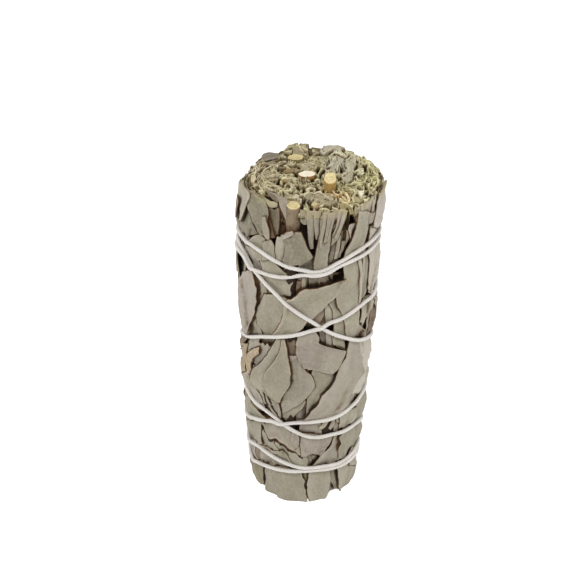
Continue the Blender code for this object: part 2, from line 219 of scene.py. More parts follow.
class Field:
    def __init__(self):
        self.h = np.zeros((TURN, ROWS))

    def index(self, angle, z):
        return np.rint(angle / DA).astype(int) % TURN, np.clip(np.rint((z - LOW) / DZ).astype(int), 0, ROWS - 1)

    def highest(self, angle, z, reach=1):
        a, b = self.index(angle, z)
        best = np.full(a.shape, -9.0)
        for i in range(-reach, reach + 1):
            for j in range(-reach, reach + 1):
                best = np.maximum(best, self.h[(a + i) % TURN, np.clip(b + j, 0, ROWS - 1)])
        return best

    def put(self, angle, z, value):
        a, b = self.index(angle, z)
        np.maximum.at(self.h, (a, b), value)

    def read(self, angle, z):
        a, b = angle / DA, (z - LOW) / DZ
        a0, b0 = np.floor(a).astype(int), np.clip(np.floor(b).astype(int), 0, ROWS - 2)
        fa, fb = a - a0, np.clip(b - b0, 0, 1)
        h = self.h
        return (
            h[a0 % TURN, b0] * (1 - fa) * (1 - fb)
            + h[(a0 + 1) % TURN, b0] * fa * (1 - fb)
            + h[a0 % TURN, b0 + 1] * (1 - fa) * fb
            + h[(a0 + 1) % TURN, b0 + 1] * fa * fb
        )


laid = Field()

# How far the tight string presses the leaves in, by angle and height.
dent = Field()
da, db = dent.index(string_angle, string_z)
reach = int(5.0 / DZ)
for i in range(-reach, reach + 1):
    for j in range(-reach, reach + 1):
        far2 = (i * DA * 18.8) ** 2 + (j * DZ) ** 2
        if far2 < 25.0:
            depth = 0.65 * math.exp(-far2 / (2 * 1.3**2)) + 0.25 * math.exp(-far2 / (2 * 3.0**2))
            np.maximum.at(dent.h, ((da + i) % TURN, np.clip(db + j, 0, ROWS - 1)), depth)
for _ in range(3):
    dent.h = (np.roll(dent.h, 1, 0) + 2 * dent.h + np.roll(dent.h, -1, 0)) / 4
    dent.h[:, 1:-1] = (dent.h[:, :-2] + 2 * dent.h[:, 1:-1] + dent.h[:, 2:]) / 4


def pressed(angle, z, h):
    """Final radius of a point h millimetres above the packs' rim in the part."""
    h = np.where(h < 4.0, h, 4.0 + (h - 4.0) * 0.45)
    return inner_radius(z) + h - dent.read(angle, z) * np.clip(0.2 + h / 3.0, 0.2, 1.0) - lean_in(angle, z)


def blurred(s, times):
    for _ in range(times):
        p = np.pad(s, 1, mode="edge")
        s = (p[:-2, 1:-1] + 2 * p[1:-1, 1:-1] + p[2:, 1:-1]) / 4
        p = np.pad(s, 1, mode="edge")
        s = (p[1:-1, :-2] + 2 * p[1:-1, 1:-1] + p[1:-1, 2:]) / 4
    return s


def finer(g, k):
    """A grid with k times as many steps each way."""
    n, m = g.shape
    i = np.linspace(0, n - 1, (n - 1) * k + 1)
    j = np.linspace(0, m - 1, (m - 1) * k + 1)
    i0, j0 = np.minimum(i.astype(int), n - 2), np.minimum(j.astype(int), m - 2)
    fi, fj = (i - i0)[:, None], (j - j0)[None, :]
    return (
        g[np.ix_(i0, j0)] * (1 - fi) * (1 - fj)
        + g[np.ix_(i0 + 1, j0)] * fi * (1 - fj)
        + g[np.ix_(i0, j0 + 1)] * (1 - fi) * fj
        + g[np.ix_(i0 + 1, j0 + 1)] * fi * fj
    )


# ------------------------------------------------------------------------------------------ leaves
TOP = 101.5  # the cut face
SUNK, FLARE = 1.0, 0.7  # how far the packs' sides lie inside those of the part, and outside them at the rim
SPAN = 18.8
leaves = []


def bulge(angle, z):
    room = by_turn(RIM_LINE, angle) - 0.15 - inner_radius(TOP) + lean_in(angle, TOP)
    return -SUNK + (np.minimum(FLARE, room) + SUNK) * step_up(z, 82.0, 95.0)


laid.h[:] = bulge((np.arange(TURN) * DA)[:, None], LOW + DZ * np.arange(ROWS)[None, :])


def drape(
    name,
    left,
    right,
    d=0.5,
    ends=("cut", "cut"),
    flat=0.8,
    tilt=0.0,
    lifts=(0.0, 0.0),
    tips=(0.0, 0.0),
    ridge=0.0,
    ridges=0.0,
    folds=(),
    crumple=0.09,
    thick=0.32,
    tone=0.5,
    warm=0.3,
    tan=0.0,
    rim=0.4,
    wave=0.035,
    step=0.45,
    cap=0.35,
    bend=0.6,
    curl=0.2,
    fresh=0.0,
    edges=(1.0, 1.0, 1.0, 1.0),
    shade=0.0,
    gold=0.0,
    seen=False,
):
    """Lays one leaf between its left and right edges, each a list of (place round the bundle, height), d below the outside."""
    seed = len(leaves) * 13 + 3
    left, right = np.array(left, float), np.array(right, float)
    middle = (left + right) / 2
    run = np.r_[0.0, np.cumsum(np.maximum(np.hypot(*np.diff(middle, axis=0).T), 0.05))]
    length = run[-1]
    widest = float(np.hypot(*(right - left).T).max())
    nu, nv = max(6, int(length / step) + 1), max(6, int(widest / step) + 1)
    u = np.linspace(0.0, length, nu)

    def edge(points):
        straight = np.c_[np.interp(u, run, points[:, 0]), np.interp(u, run, points[:, 1])]
        curved = np.c_[smooth(u, run, points[:, 0]), smooth(u, run, points[:, 1])]
        return straight * (1 - bend) + curved * bend

    lo, hi = edge(left), edge(right)
    across = hi - lo
    reach = np.maximum(np.hypot(across[:, 0], across[:, 1]), 0.05)[:, None]
    lo = lo - across * (wave * fractal(u / 2.3, seed * 0.7, 0, seed, 3))[:, None]
    hi = hi + across * (wave * fractal(u / 2.3, seed * 0.7 + 40, 0, seed + 5, 3))[:, None]
    sv = np.linspace(-1.0, 1.0, nv)[None, :]
    w = (sv + 1) / 2
    flat_points = lo[:, None, :] * (1 - w[..., None]) + hi[:, None, :] * w[..., None]
    way = np.gradient((lo + hi) / 2, axis=0)
    way /= np.maximum(np.hypot(way[:, 0], way[:, 1]), 1e-6)[:, None]
    for end, style in enumerate(ends):
        away = (u if end == 0 else length - u)[:, None]
        if style == "round":
            push = np.abs(sv) ** 2.4 * 0.3 * reach * np.clip(1 - away / np.minimum(0.8 * widest, length * 0.6), 0, 1) ** 2
        elif style == "torn":
            push = 0.65 * fractal(sv * reach / 1.5 + 3, seed + 0.0, 0, seed + 9, 3) * np.clip(1 - away / 3.0, 0, 1)
        else:
            push = 0.16 * fractal(sv * reach / 1.2 + 3, seed + 0.0, 0, seed + 9, 2) * np.clip(1 - away / 1.5, 0, 1)
        flat_points = flat_points + way[:, None, :] * (push * (-1 if end else 1))[..., None]
    s, z = flat_points[..., 0], flat_points[..., 1]
    limit = TOP + cap
    z = np.where(z > limit, limit + (z - limit) * 0.1, z)
    z = np.where(z < 0.15, 0.15 + (z - 0.15) * 0.1, z)
    z = np.maximum(z, 0.05)
    angle = s / SPAN

    v = sv * reach / 2
    around_by = s - (lo[:, 0] + hi[:, 0])[:, None] / 2
    shape = flat * around_by**2 / (2 * SPAN) + tilt * sv
    shape = shape + lifts[0] * step_up(-sv, 0.35, 1.0) + lifts[1] * step_up(sv, 0.35, 1.0)
    shape = shape + tips[0] * step_up(1 - u / min(5.0, length * 0.5), 0, 1)[:, None]
    shape = shape + tips[1] * step_up(1 - (length - u) / min(5.0, length * 0.5), 0, 1)[:, None]
    beside = (1 - np.abs(sv)) * reach / 2
    shape = shape + curl * np.exp(-beside / 0.5) * np.clip(0.6 + 0.9 * noise(u / 2.6, seed * 1.1, 0, seed + 7), 0, 1.3)[:, None]
    wander = noise(u / 6.0, seed + 2.0, 0, seed)[:, None]
    if ridge:
        shape = shape + ridge * np.clip(1 - np.abs(sv + 0.15 * wander) / 0.5, 0, 1)
    if ridges:
        shape = shape + ridges * np.abs(np.sin(v / 0.75 + 1.2 * wander)) - ridges / 2
    for place, beside, heading, high, wide_by in folds:
        h = math.radians(heading)
        far = (v - beside * widest / 2) * math.cos(h) - (u[:, None] - place * length) * math.sin(h)
        shape = shape + (high * np.clip(1 - np.abs(far) / wide_by, 0, 1) if wide_by > 0 else high * np.clip(-far / wide_by, 0, 1.6))
    if seen:
        crumple = 1.5 * crumple + 0.05
        shape = shape + 0.16 * noise(s / 4.5 + 3, z / 8.0, seed * 3.0, seed + 7)
    shape = shape + crumple * fractal(s / 2.8, z / 4.2, seed * 1.0, seed, 3)
    shape = shape - 0.5 * crumple * (1 - np.abs(noise(s / 2.3 + 5, z / 3.4, seed * 2.0, seed + 3))) ** 5
    base = laid.highest(angle, z) + 0.05
    inner = np.maximum(base, 3.5 - d - thick + shape)
    inner = np.maximum(base, blurred(inner, 1))
    top = inner + thick * (0.75 + 0.25 * np.clip((1 - np.abs(sv)) * reach / 0.8, 0, 1))
    # the lower sheet reaches a little past the upper one, so that an edge painted dark as shadow shows all round
    past = 0.2 + 0.12 * noise(s / 1.7, z / 1.7, seed * 1.0, seed + 21)
    if seen:
        past = past / np.clip(np.cos(angle), 0.42, 1.0)
    side_way = across / reach
    low_s, low_z = s.copy(), z.copy()
    for column, sign, wide_by in ((0, -1.0, edges[2]), (-1, 1.0, edges[3])):
        low_s[:, column] += sign * side_way[:, 0] * past[:, column] * wide_by
        low_z[:, column] += sign * side_way[:, 1] * past[:, column] * wide_by
    for row, sign, wide_by in ((0, -1.0, edges[0]), (-1, 1.0, edges[1])):
        low_s[row] += sign * way[row, 0] * past[row] * wide_by
        low_z[row] += sign * way[row, 1] * past[row] * wide_by
    low_z = np.clip(low_z, 0.05, TOP + cap + 0.3)
    low_angle = low_s / SPAN
    border = np.zeros(z.shape, bool)
    border[0], border[-1], border[:, 0], border[:, -1] = True, True, True, True
    rest = laid.highest(low_angle, low_z, 0) + 0.02
    low = np.where(border, np.minimum(np.maximum(inner, rest), top - 0.1), inner)
    laid.put(finer(angle, 3), finer(z, 3), finer(top, 3))
    leaves.append(
        dict(
            name=name, angle=angle, z=z, inner=low, top=top, tone=tone, warm=warm, tan=tan, rim=rim, fresh=fresh,
            low_angle=low_angle, low_z=low_z, border=border, seed=seed, shade=shade, edges=edges, gold=gold,
            u=np.broadcast_to(u[:, None], z.shape), v=v, beside=(1 - np.abs(sv)) * reach / 2,
            away=np.minimum(u, length - u)[:, None] + 0 * sv,
        )
    )


def by_spine(name, rows, **style):
    """Lays a leaf given by (angle, height, half width) along its middle."""
    rows = np.array(rows, float)
    path = np.c_[rows[:, 0] * SPAN, rows[:, 1]]
    way = np.gradient(path, axis=0)
    way /= np.hypot(way[:, 0], way[:, 1])[:, None]
    side = np.c_[way[:, 1], -way[:, 0]] * rows[:, 2:3]
    drape(name, path - side, path + side, **style)


def by_view(name, d, rows, **style):
    """Lays a leaf given by its two edges as seen: (left x, left y, right x, right y) on the view."""
    left, right = [], []
    for x0, y0, x1, y1 in rows:
        for x, y, edge in ((x0, y0, left), (x1, y1, right)):
            angle, z = sighted(x, y, d, HEIGHT + max(0.0, style.get("cap", 0.35) - 0.35))
            edge.append((angle * SPAN, z))
    left, right = np.array(left), np.array(right)
    across, along = right - left, np.gradient((left + right) / 2, axis=0)
    across /= np.maximum(np.hypot(*across.T), 0.05)[:, None]
    along /= np.maximum(np.hypot(*along.T), 0.05)[:, None]
    grown = 0.26 if d > 0.25 else 0.12
    left, right = left - across * grown, right + across * grown
    for edge in (left, right):
        edge[0] -= along[0] * grown
        edge[-1] += along[-1] * grown
    style.setdefault("folds", ((spread(0.2, 0.8), spread(-0.6, 0.6), spread(-30, 30), spread(0.1, 0.3), spread(1.2, 2.5)),))
    drape(name, left, right, d=d, seen=True, **style)


def spread(low, high):
    return random.uniform(low, high)


def chance(strong=1.0):
    """A dried leaf's chance folds and curls."""
    style = dict(
        crumple=spread(0.08, 0.2), tone=spread(0.3, 0.8), warm=spread(0.0, 0.8), rim=spread(0.2, 0.8), wave=spread(0.03, 0.07),
        tilt=random.gauss(0, 0.35) * strong, flat=spread(0.3, 1.3), tan=random.choice((0, 0, 0, 0, 0.5)),
        folds=tuple((spread(0.1, 0.9), spread(-0.7, 0.7), random.gauss(0, 25), spread(-0.5, 0.6) * strong, spread(1.0, 2.6)) for _ in range(random.choice((1, 2, 3)))),
    )
    kind = random.random()
    if kind < 0.35:
        style.update(lifts=(spread(0, 0.9) * strong, spread(0, 0.9) * strong))
    elif kind < 0.6:
        style.update(ridge=spread(0.3, 0.9) * strong)
    elif kind < 0.75:
        style.update(ridges=spread(0.3, 0.6) * strong)
    return style


# Two rounds of long leaves against the packs, all the way round.
ROUND = 16
for layer, d in ((0, 3.6), (1, 2.7)):
    for n in range(ROUND):
        turn = 2 * math.pi * (n + 0.5 * layer + spread(-0.2, 0.2)) / ROUND
        cut = spread(36, 52)
        for part, (low, high) in enumerate(((0.5, cut + 5), (cut - 5, 86 - spread(0, 7)))):
            slant = math.radians(random.gauss(0, 5))
            rows = [(turn + slant * (k - 0.5), low + (high - low) * k, spread(3.2, 3.9) * (0.86 if part == 0 else 1.0)) for k in np.linspace(0, 1, 5)]
            by_spine(f"inner_leaf_{layer}_{n}_{part}", rows, d=d, ends=("cut" if part == 0 else "round", "round"), step=1.25, thick=0.3, **chance(1.0))
# A round of short ones where the packs flare to the rim, but for the front.
for n in range(15):
    turn = math.radians(62 + 236 * (n + spread(-0.2, 0.2)) / 15)
    rows = [(turn + 0.02 * k, 79 + (TOP - 79.3) * k, 3.1) for k in np.linspace(0, 1, 5)]
    by_spine(f"rim_leaf_{n}", rows, d=2.2, ends=("round", "torn"), step=0.8, thick=0.28, cap=0.1, **chance(0.5))

# Leaves seen only in the gaps between those in front, darkened with painted shade.
for n in range(22):
    turn = math.radians(-88 + 176 * ((n * 0.6180339 + 0.1) % 1.0))
    middle, long = 4 + 66 * ((n * 0.7548777 + 0.6) % 1.0), spread(15, 26)
    rows = [(turn + math.tan(math.radians(spread(-4, 4))) * long * k / SPAN, max(0.5, middle + long * k), spread(2.4, 3.4) * (1 - 1.2 * k * k)) for k in np.linspace(-0.5, 0.5, 5)]
    style = chance(0.8)
    style.update(tone=spread(0.25, 0.5), warm=spread(0.3, 1.0), shade=0.2)
    by_spine(f"gap_leaf_{n}", rows, d=2.1 - 0.6 * n / 22, ends=("round", "round"), step=0.8, thick=0.28, **style)

# Leaves round the sides and the back: the part's nine, and more among them, the deepest first.
others = []
COUNT = 78
for n in range(COUNT):
    turn = math.radians(72 + 216 * ((n * 0.6180339) % 1.0))
    middle, long = 2 + 98 * ((n * 0.7548777 + 0.3) % 1.0), spread(14, 34)
    others.append((f"side_leaf_{n}", turn, middle, long, spread(2.4, 4.6), random.gauss(0, 15), 2.6 - 2.3 * n / COUNT))
for n in range(9):
    turn = math.radians(98 + 164 * (n + 0.5) / 9)
    low, high = ((48, 98) if n % 2 == 0 else (3, 54))
    others.append((f"leaf_back_{n + 1}", turn, (low + high) / 2, (high - low) * 0.9, 4.6, random.gauss(0, 5), 1.4 - 0.1 * n))
others.sort(key=lambda leaf: -leaf[6])
for name, turn, middle, long, half, heading, d in others:
    low, high = middle - long / 2, middle + long / 2
    if low < 5:
        low, high = 0.5, max(high, 14)
    if high > TOP - 7:
        low, high = min(low, 84), TOP
    t = np.linspace(-0.5, 0.5, 6)
    point = random.choice((0.15, 0.3, 0.6))
    rows = []
    for k in t:
        taper_low = 1.0 if low < 1 else 1 - (1 - point) * np.clip(-2 * k, 0, 1) ** 2.2
        taper_high = 1.0 if high >= TOP else 1 - (1 - random.choice((point, 0.5))) * np.clip(2 * k, 0, 1) ** 2.2
        rows.append((turn + math.tan(math.radians(heading)) * (high - low) * k / SPAN, (low + high) / 2 + (high - low) * k, half * taper_low * taper_high))
    style = chance()
    style["tips"] = (0 if low < 1 else spread(0, 0.7), 0 if high >= TOP else spread(0, 0.7))
    by_spine(name, rows, d=d + (0.3 if high >= TOP else 0), ends=("cut" if low < 1 else "round", "torn" if high >= TOP else "round"), step=0.6, cap=spread(-0.9, 0.2), **style)

# The front, as it is seen: (name, depth, edges from top to bottom or along, manner). The lowest are laid first.
# A manner's shade darkens that leaf's colour with painted shade. Deep ones such as hollow_under, deep_lower_3,
# coil_hole and torn_deep are painted near black to stand for shade in the hollows.
SEEN = (
    ("deep_brown_1", 3.2, ((288, 279, 304, 280), (288, 290, 301, 291), (286, 300, 296, 300)), dict(warm=1, tone=0.1, tan=0.6, crumple=0.3)),
    ("deep_brown_2", 2.9, ((362, 294, 372, 291), (361, 315, 374, 312), (361, 336, 373, 336)), dict(warm=1, tone=0.15, tan=0.5, crumple=0.4)),
    ("under_pentagon", 2.2, ((303, 258, 316, 258), (303, 270, 316, 270)), dict(tone=0.35, warm=0.6)),
    ("upper_fold_1", 2.2, ((303, 276, 309, 276), (304, 290, 309.5, 290)), dict(tone=0.4, warm=0.4, ridge=0.4)),
    ("upper_fold_2", 2.0, ((309.5, 272, 317, 273), (311, 291, 317, 290)), dict(tone=0.45, warm=0.5, ridge=0.5)),
    ("upper_fold_4", 2.5, ((331, 275, 345, 271), (331, 287, 345, 283)), dict(tone=0.2, warm=0.9, tan=0.6, crumple=0.4)),
    ("upper_fold_3", 1.7, ((319.5, 279, 327, 277.5), (320, 288, 330, 286)), dict(tone=0.5, warm=0.8, tan=0.3, ridge=0.5)),
    ("deep_left", 0.8, ((254.5, 275, 262.5, 281), (255.5, 288, 265.5, 290), (256, 300, 266, 299), (255.5, 312, 261, 312)), dict(tone=0.48, warm=0.35, ridges=0.3, folds=())),
    ("deep_lower_1", 2.0, ((320, 331, 327.5, 332), (321, 338, 327.5, 339), (322, 346, 328, 347)), dict(tone=0.3, warm=0.8)),
    ("deep_lower_2", 2.2, ((296, 409, 305, 402), (296, 421, 305, 421)), dict(tone=0.35, warm=0.7, ridge=0.6)),
    ("deep_lower_3", 1.5, ((318, 413, 341.5, 412), (318, 424, 341.5, 424), (318, 435, 341.5, 434)), dict(tone=0.2, warm=0.8, shade=0.9, folds=())),
    ("upright_strip", 1.0, ((333.2, 414, 338.2, 414), (333.6, 422, 338, 422), (334.3, 431, 337.6, 431)), dict(tone=0.5, warm=0.4, ridge=0.4, folds=(), shade=0.1)),
    ("deep_lower_4", 1.0, ((255.5, 444, 264.5, 446), (256.5, 452, 265, 454), (258, 461, 265.5, 463)), dict(tone=0.3, warm=0.7, tan=0.3, ridges=0.4)),
    ("foot_recess", 1.9, ((329, 477, 333, 477), (326.5, 488, 336.5, 487), (325.3, 493.5, 337.7, 493)), dict(tone=0.3, warm=0.7)),
    ("foot_fold", 1.2, ((298, 469, 313, 469), (301.5, 480, 309.5, 480), (303.5, 488, 309, 488), (303.5, 501.5, 311, 500.5)), dict(tone=0.3, warm=0.3, tan=0.45, fresh=0.45, ridge=0.4)),
    # the top left
    ("reddish_strip", 2.3, ((277.5, 202, 282, 203), (279.5, 211, 286, 212), (280, 221, 288, 221), (280, 234, 288, 234)), dict(warm=1, tone=0.2, tan=1.0, shade=0.45, ridge=0.6, crumple=0.2)),
    ("left_hollow_leaf", 0.95, ((266, 206.5, 276.5, 212), (266.3, 213, 277.2, 214.5), (267, 219, 277.4, 220), (269.5, 227, 277, 227), (272.5, 236, 275.5, 235)), dict(tone=0.24, warm=0.15, ends=("torn", "cut"), tilt=-0.5, folds=(), shade=0.22, edges=(1, 1, 0.4, 1.6))),
    ("hollow_under", 2.6, ((264, 196, 279, 196), (266, 205, 279, 205), (268, 213, 278, 213)), dict(tone=0.1, warm=1.0, tan=0.8, shade=0.85, folds=())),
    ("hollow_brown", 0.9, ((268.3, 221, 270, 221), (269.5, 229, 272.3, 229), (271.5, 236, 273.5, 236)), dict(tone=0.25, warm=0.9, tan=0.5, ridge=0.2, shade=0.35)),
    ("grey_tongue", 0.9, ((276.8, 190, 283.3, 190.5), (278.6, 198, 284.6, 198.5), (281.5, 206, 286.6, 206), (284.3, 213, 287.4, 213), (286.6, 219, 287.6, 219)), dict(tone=0.45, warm=0.95, ridge=0.4, lifts=(0.2, 0.0), crumple=0.1, folds=(), edges=(1, 1, 1.8, 1), cap=3.2, fresh=-0.9)),
    ("hollow_triangle", 1.7, ((266.5, 190.5, 276.5, 190), (270, 195.5, 276.8, 195.5), (274.5, 200.5, 277.5, 201)), dict(tone=0.25, warm=0.8, tan=0.3, shade=0.15, ends=("torn", "round"), cap=3.0, fresh=-0.9, folds=())),
    ("leaf_left_edge", 0.35, ((241.3, 184, 247.5, 184), (240.8, 191, 250.3, 192), (240.6, 198, 250.0, 199), (240.2, 207, 247.2, 208), (240.2, 218, 243.0, 219)), dict(tone=0.78, warm=0.3, ends=("torn", "cut"), lifts=(0, 0.6), crumple=0.2, fresh=-0.6, edges=(1, 1, 1, 2.0))),
    ("left_kite", 1.5, ((250.6, 205.5, 251.4, 205.5), (246.6, 216, 254.5, 216.5), (243, 228, 258.5, 227), (248, 234.5, 256.5, 233)), dict(tone=0.34, warm=0.25, lifts=(0.3, 0.1), folds=(), edges=(1, 1, 1.4, 2.2))),
    ("leaf_left_tall", 0.6, ((251.8, 191, 263, 193.5), (251.5, 199, 265.0, 200.5), (252.3, 209, 267.5, 208), (255.0, 219, 268, 218), (259.5, 227.5, 268.3, 227), (263.5, 234, 268, 234)), dict(tone=0.3, warm=0.05, lifts=(0.7, 0.0), crumple=0.06, folds=(), fresh=-0.55, edges=(1, 1, 2.4, 0.3))),
    ("hollow_roll", 0.75, ((261.8, 193.5, 264, 192.8), (263.2, 199, 265.8, 198), (265.5, 203.8, 267.8, 201.6), (270.5, 206.3, 271.2, 203.4), (275.2, 206.6, 275.6, 204.4)), dict(tone=0.55, warm=0.1, fresh=-0.2, flat=0.4, ridge=0.3, folds=(), crumple=0.06)),
    ("left_small_tip", 0.5, ((265.2, 217.5, 266.6, 217.5), (264.6, 225, 268.6, 225), (265.3, 232.5, 269.4, 232), (267, 237, 269, 237)), dict(tone=0.55, warm=0.2, lifts=(0.2, 0.3), folds=(), edges=(1, 1, 0.7, 1.4))),
    ("left_strip_1", 1.2, ((246.5, 247, 253, 250), (249.5, 258, 256.5, 260), (253, 270, 259, 271)), dict(tone=0.5, warm=0.85)),
    ("leaf_round", 0.7, ((250.5, 235.5, 268.5, 236), (248.7, 244, 264.5, 243.5), (250.5, 252, 263, 252), (256, 259, 263.5, 259)), dict(tone=0.56, warm=0.25, ends=("round", "cut"), tips=(0.4, 0))),
    ("round_beside", 0.65, ((264.5, 243, 270, 240), (262.5, 250, 273.3, 247), (263.5, 259, 273, 259)), dict(tone=0.55, warm=0.35, lifts=(0.4, 0.2))),
    ("leaf_small_upper", 1.0, ((261, 256, 272, 262), (262.3, 267, 280.5, 270), (262.5, 279, 291.5, 281), (264, 288, 289.8, 290), (265.3, 297, 287.7, 298), (266, 303, 287, 303)), dict(tone=0.55, warm=0.1, crumple=0.06)),
    ("leaf_narrow", 0.7, ((278.3, 237.5, 281.7, 237), (276.3, 245, 286, 245.5), (275, 252, 285.7, 253), (272.8, 261, 283.5, 262)), dict(tone=0.72, warm=0.3, ridge=0.3)),
    ("leaf_pentagon", 0.3, ((285.7, 236.8, 299.8, 232.3), (285.9, 244, 305, 244), (286.7, 252, 311.6, 255.8), (284, 262.8, 305, 261.5), (291, 266.3, 300, 264.6)), dict(tone=0.3, warm=0.25, lifts=(0.35, 0.5), crumple=0.05, folds=((0.7, 0.0, 75, 0.25, 1.2),), bend=0.3, edges=(1.2, 1.2, 1.0, 1.6))),
    ("pentagon_roll", 0.15, ((281.5, 236, 283, 238.2), (286, 233.7, 287.5, 236.4), (292, 231.6, 293, 234)), dict(tone=0.65, warm=0.7, flat=0, ridge=0.3)),
    ("between_strings", 1.4, ((285, 268.5, 292, 269), (282, 272, 294, 272.5), (280.3, 278, 294, 278)), dict(tone=0.45, warm=0.8, ends=("round", "cut"))),
    # the fan of narrow folds in the middle, and the right
    ("beside_stem", 1.1, ((301.5, 211, 306.5, 212), (300.7, 217, 306.4, 218), (301.8, 222.5, 305.3, 224)), dict(tone=0.34, warm=0.25, ends=("torn", "round"), folds=(), fresh=0.15)),
    ("fan_deep_1", 2.3, ((328, 244, 334, 242), (328.5, 254, 334, 253), (329, 265, 333.5, 264)), dict(tone=0.28, warm=0.6, ridges=0.5, shade=0.35)),
    ("fan_deep_2", 2.1, ((334, 236, 341, 231), (333.5, 248, 339.5, 246), (332.5, 262, 337.5, 260)), dict(tone=0.3, warm=0.6, ridges=0.6, shade=0.35)),
    ("fan_deep_3", 2.2, ((340, 226, 345.5, 222), (339.5, 240, 344, 237), (338.5, 256, 342.5, 252)), dict(tone=0.25, warm=0.7, ridges=0.5, shade=0.6)),
    ("fan_pale_ridge", 0.9, ((338.9, 236.5, 340, 236.5), (337.1, 248, 338.4, 248), (335.4, 259, 336.9, 259)), dict(tone=0.48, warm=0.6, ridge=0.3, folds=())),
    ("fan_pale_ridge_2", 1.5, ((342.4, 242, 343.2, 242), (341.4, 249, 342.4, 249), (339.7, 257, 340.7, 257)), dict(tone=0.34, warm=0.7, ridge=0.3, folds=())),
    ("fan_pale_ridge_3", 1.6, ((347.2, 231, 348.4, 231), (346.6, 239, 347.8, 239), (344.2, 249, 345.4, 249)), dict(tone=0.32, warm=0.8, ridge=0.3, folds=())),
    ("leaf_fan_left", 0.9, ((308.3, 212, 313.2, 212), (308.4, 222, 312.9, 222), (308.9, 232, 312.6, 232), (309.9, 241, 312.3, 241), (310.7, 248, 312.2, 248)), dict(tone=0.45, warm=0.25, ridge=0.5, folds=())),
    ("fan_second", 0.9, ((314.9, 211, 320.8, 211), (315, 220, 320.6, 220), (315.6, 230, 320.2, 230), (317.2, 238.5, 319.5, 239)), dict(tone=0.52, warm=0.5, ridge=0.6, folds=())),
    ("fan_third", 0.5, ((334, 211, 336.8, 211), (332.8, 221.5, 335.6, 222), (330, 231.5, 332.8, 232.5), (327, 240, 328.3, 241)), dict(tone=0.55, warm=0.5, ridge=0.4, folds=(), edges=(1, 1, 0.5, 1.6))),
    ("fan_fourth", 0.25, ((342.6, 212.5, 344.8, 213), (340.4, 221.5, 342.2, 222), (337.5, 230, 339.2, 230.5), (334, 236.5, 335.6, 237.5)), dict(tone=0.66, warm=0.4, ridge=0.4, folds=(), edges=(1, 1, 0.4, 0.6))),
    ("fan_ridge_1", 0.2, ((323.8, 211, 326.8, 211), (323.2, 219, 325.8, 219), (321.8, 228, 324.2, 228), (320.2, 238, 322, 238), (319.6, 247, 320.6, 247)), dict(tone=0.45, warm=0.4, ridge=0.35, folds=(), edges=(1, 1, 0.5, 0.7))),
    ("fan_ridge_2", 0.15, ((327.8, 211, 330.2, 211), (327.2, 220, 329.4, 220), (325.4, 231, 327.4, 231), (323.6, 241, 325, 241)), dict(tone=0.38, warm=0.4, ridge=0.35, folds=(), edges=(1, 1, 0.5, 0.7))),
    ("fan_ridge_3", 0.2, ((331.2, 211, 333.4, 211), (330.2, 221, 332.4, 221), (328.2, 231, 330.2, 231), (326, 239, 327, 240)), dict(tone=0.42, warm=0.4, ridge=0.35, folds=(), edges=(1, 1, 0.5, 0.7))),
    ("fan_low_fold", 1.25, ((331.4, 244.5, 336, 243), (330.8, 253, 335, 252), (329.6, 262, 333.6, 261)), dict(tone=0.22, warm=0.85, ridge=0.5, shade=0.12, folds=())),
    ("leaf_fan_middle", 0.35, ((323.8, 210, 333, 210), (322.4, 220, 332, 220), (320.8, 231, 330, 231), (319.2, 241, 328.6, 241), (317.2, 251, 328, 251), (315.3, 262, 327, 261), (315, 270, 326.5, 270)), dict(tone=0.36, warm=0.3, ridge=0.2, ridges=0.4, edges=(1, 1, 1.6, 2.2), folds=((0.25, 0.15, 3, 0.45, 0.5), (0.3, -0.5, 6, 0.4, 0.5), (0.8, 0.3, 0, -0.4, 0.6)))),
    ("leaf_fan_right", 0.4, ((340.5, 211, 346.2, 212), (338.4, 220, 343.4, 221), (335.8, 229.5, 340.4, 230.5), (332, 236.5, 337.4, 238), (327.6, 242.5, 331.6, 245)), dict(tone=0.6, warm=0.4, ridge=0.4, folds=(), crumple=0.06, edges=(1, 1.4, 2.2, 1.6))),
    ("right_top_grey", 1.0, ((356.5, 208, 361, 207), (355.5, 214, 361.5, 214), (356.5, 221, 362, 221)), dict(tone=0.5, warm=0.4, ends=("torn", "cut"), ridges=0.4, fresh=0.35)),
    ("right_top_panel", 0.9, ((361.5, 205, 372, 200), (362, 213, 371, 210), (363.5, 221, 368.5, 219)), dict(tone=0.62, warm=0.5, ends=("torn", "cut"), crumple=0.2, ridges=0.3, fresh=0.2)),
    ("pinkish_triangle", 1.3, ((347.8, 225.5, 358.6, 221.5), (349.7, 233, 355.3, 231), (351.4, 242, 352.2, 241)), dict(tone=0.6, warm=0.95, tips=(0.6, 0), folds=(), rim=1.0)),
    ("right_inner_strip", 0.9, ((372, 199, 376, 196), (370.3, 210, 374.5, 208), (368, 220, 371.5, 220)), dict(tone=0.65, warm=0.8, ridge=0.4, ends=("torn", "cut"))),
    ("leaf_right_outer", 0.25, ((379, 181, 382.5, 181.5), (377.3, 190, 385, 190), (376.6, 199, 384.5, 199), (375.4, 208, 383.7, 208), (373.4, 218, 382.6, 218), (371.5, 226, 381, 226)), dict(tone=0.92, warm=0.85, lifts=(0.5, 0), ends=("round", "cut"), folds=(), crumple=0.06)),
    ("right_long", 0.6, ((372.5, 221, 382, 219.5), (369.3, 232, 380.3, 232), (369.8, 245, 379.3, 245), (369.3, 264, 377.4, 262), (367, 285, 376.2, 283), (371, 297, 376.3, 298)), dict(tone=0.95, warm=0.6, ridges=0.3)),
    ("right_ridged", 0.8, ((366.3, 213, 371.3, 213), (366.3, 224, 371.3, 224), (365.3, 236, 371.3, 236), (362.3, 248, 371.3, 247), (360.6, 265, 369.3, 263), (359.3, 285, 366.3, 285), (360, 304, 365.3, 297)), dict(tone=0.5, warm=0.4, ridges=0.5, folds=())),
    ("right_fold_line", 0.35, ((364.6, 228, 365.6, 228), (364.3, 242, 365.4, 242), (364.8, 256, 365.8, 256), (363.3, 270, 364.3, 270), (361.5, 282, 362.6, 282)), dict(tone=0.75, warm=0.3, ridge=0.3, folds=(), flat=0.2)),
